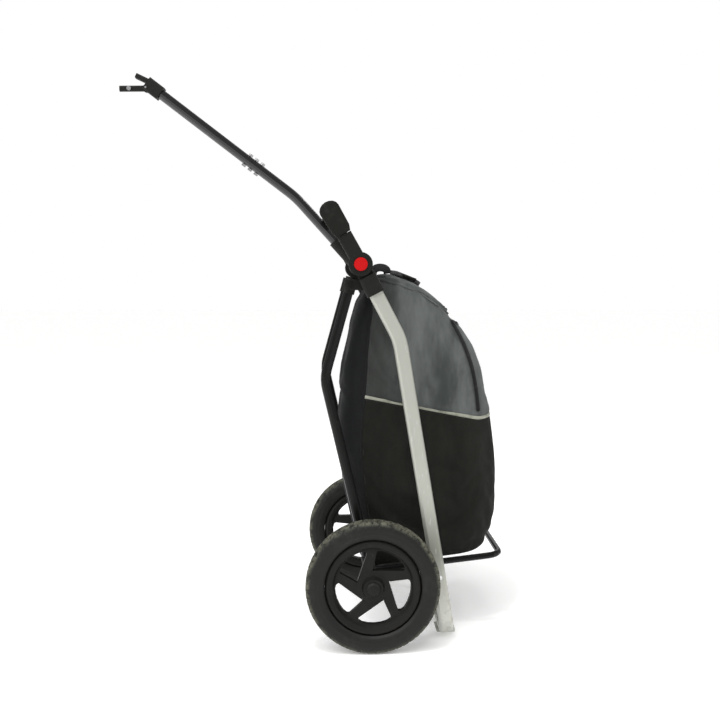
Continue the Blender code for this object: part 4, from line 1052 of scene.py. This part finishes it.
def makeLid():
    # a soft flap following the top of its solid, puffed a little, with a bound edge
    count = lid["around"]
    middle = (lidLow + lidHigh) / 2
    edge = []
    for k in range(count):
        a = 2 * pi * k / count
        way = Vector((cos(a), sin(a), 0))
        best = None
        for step in range(120):  # walk outwards to the rim of the solid
            p = middle + way * (0.02 + step * lid["step"])
            hit = lidTree.ray_cast(Vector((p.x, p.y, 2)), Vector((0, 0, -1)))[0]
            if hit is None:
                break
            best = hit
        edge.append(best)
    verts, faces, uvs = [], [], []
    rings = lid["rings"]
    for r in range(rings + 1):
        f = 1 - r / (rings + 0.5)
        for k in range(count):
            flat = Vector((middle.x, middle.y, 0)).lerp(Vector((edge[k].x, edge[k].y, 0)), f)
            hit = lidTree.ray_cast(Vector((flat.x, flat.y, 2)), Vector((0, 0, -1)))[0] or edge[k]
            ripple = lid["edgeRipple"] * sin(9 * k * 2 * pi / count + 1.3) * f ** 3
            ripple += lid["topRipple"] * sin(flat.x * 140 + flat.y * 60)
            drop = lid["edgeDrop"] * max(0.0, (f - 0.86) / 0.14) ** 2
            up = lid["puff"] * sin(pi * f) + ripple - lid["under"] - drop
            verts.append(Vector((flat.x, flat.y, hit.z + up)))
            uvs.append((flat.x, flat.y))
    for r in range(rings):
        for k in range(count):
            a, b = r * count + k, r * count + (k + 1) % count
            faces.append((a, b, b + count, a + count))
    faces.append(tuple(rings * count + k for k in range(count)))
    kinds = [int(sum(verts[k].x for k in f) / len(f) < lidLow.x + lid["darkBack"]) for f in faces]
    cloths = [finishes["slate_cloth"], gussetCloth]
    obj = makePiece("lidCloth", verts, faces, "lid", cloths, uvs, kinds)
    thick = obj.modifiers.new("thick", "SOLIDIFY")
    thick.thickness, thick.offset = lid["thick"], -1
    subdivide(obj)
    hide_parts("bag_lid")
    outs = [(e - middle).normalized() for e in edge]
    tape = lid["binding"]
    line = [p - Vector((0, 0, tape["drop"])) for p in edge + [edge[0]]]
    verts, faces, uvs = bandMesh(line, outs + [outs[0]], tape["wide"], tape["thick"], tape["lift"], False,
                                 tape["crown"])
    bound = makePiece("lidBinding", verts, faces, "lid", finishes["slate_cloth"], uvs)


makeLid()


def lidTop(x, y):
    hit = lidTree.ray_cast(Vector((x, y, 2)), Vector((0, 0, -1)))[0]
    return hit if hit else Vector((x, y, lidLow.z))


strap = {
    "points": 39,
    "endIn": 0.002,
    "lift": 0.0046,
    "slack": 0.0020,  # stands off further between its ends
    "lean": (0, -0.36, 0.93),  # its face tips to the near side
    "sideIn": 0.0005,
    "thick": 0.0042,
    "crown": 0.0003,
}


def makeStrap():
    low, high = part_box("lid_strap")
    y = (low.y + high.y) / 2
    pts = []
    for k in range(strap["points"] + 1):
        f = k / strap["points"]
        x = low.x + strap["endIn"] + (high.x - low.x - 2 * strap["endIn"]) * f
        ease = strap["lift"] + strap["slack"] * sin(pi * f) ** 0.8
        pts.append(lidTop(x, y) + Vector((0, 0, ease)))
    pts = relax(pts, 3)
    outs = [Vector(strap["lean"])] * len(pts)
    width = high.y - low.y - strap["sideIn"]
    verts, faces, uvs = bandMesh(pts, outs, width, strap["thick"], 0.0, False, strap["crown"])
    obj = makePiece("lidStrap", verts, faces, "lid", finishes["webbing"], uvs)
    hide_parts("lid_strap")
    lengthOf(pts)


lifting = {"points": 40, "wide": 0.0190, "thick": 0.0021, "endIn": 0.0025, "foot": 0.0020, "topIn": 0.0098,
           "droop": 0.003}


def makeLoop():  # a lifting loop of webbing that has flopped over, so its face shows from the side
    low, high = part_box("carry_loop")
    y, mid, half = (low.y + high.y) / 2, (low.x + high.x) / 2, (high.x - low.x) / 2 - lifting["endIn"]
    pts, outs = [], []
    for k in range(lifting["points"] + 1):
        a = pi * k / lifting["points"]
        x = mid - half * cos(a)
        foot = lidTop(x, y).z + lifting["foot"]
        top = high.z - lifting["topIn"]
        pts.append(Vector((x, y - lifting["droop"] * sin(a), foot + (top - foot) * sin(a) ** 0.7)))
        outs.append(Vector((-cos(a) * 0.30, -0.92, sin(a) * 0.30)).normalized())
    verts, faces, uvs = bandMesh(relax(pts, 3), outs, lifting["wide"], lifting["thick"])
    obj = makePiece("liftLoop", verts, faces, "lid", finishes["webbing"], uvs)
    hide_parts("carry_loop")
    lengthOf(pts)


hanger = {
    "points": 32,
    "from": -40,  # degrees, from straight ahead, up and over the bar
    "turn": 280,
    "off": 0.0018,
    "thick": 0.0016,
    "tails": (0.0042, -0.0004),  # forwards of the bar, where the ends meet the bag
    "up": 0.0006,
}


def makeHangLoop(side):
    low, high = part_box("hang_loop_" + side)
    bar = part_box("top_crossbar")
    centre = (bar[0] + bar[1]) / 2
    radius = (bar[1].z - bar[0].z) / 2 + hanger["off"]
    y = (low.y + high.y) / 2
    pts, outs = [], []
    for k in range(hanger["points"] + 1):
        a = radians(hanger["from"] + hanger["turn"] * k / hanger["points"])
        n = Vector((cos(a), 0, sin(a)))
        pts.append(Vector((centre.x, y, centre.z)) + n * radius)
        outs.append(n)
    fore, back = (Vector((centre.x + along, y, low.z + hanger["up"])) for along in hanger["tails"])
    pts, outs = [fore] + pts + [back], [Vector((1, 0, 0))] + outs + [Vector((-1, 0, 0))]
    verts, faces, uvs = bandMesh(pts, outs, high.y - low.y, hanger["thick"])
    obj = makePiece("hangLoop_" + side, verts, faces, "frame", finishes["webbing"], uvs)
    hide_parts("hang_loop_" + side)
    lengthOf(pts)


makeStrap()
makeLoop()
for side in ("left", "right"):
    makeHangLoop(side)
print("straps made")


# ---- floor ----
floor = bpy.data.meshes.new("floor")
floor.from_pydata([(-30, -30, 0), (30, -30, 0), (30, 30, 0), (-30, 30, 0)], [], [(0, 1, 2, 3)])
floor.materials.append(paleFloor())
floorObj = bpy.data.objects.new("floor", floor)
bpy.context.scene.collection.objects.link(floorObj)
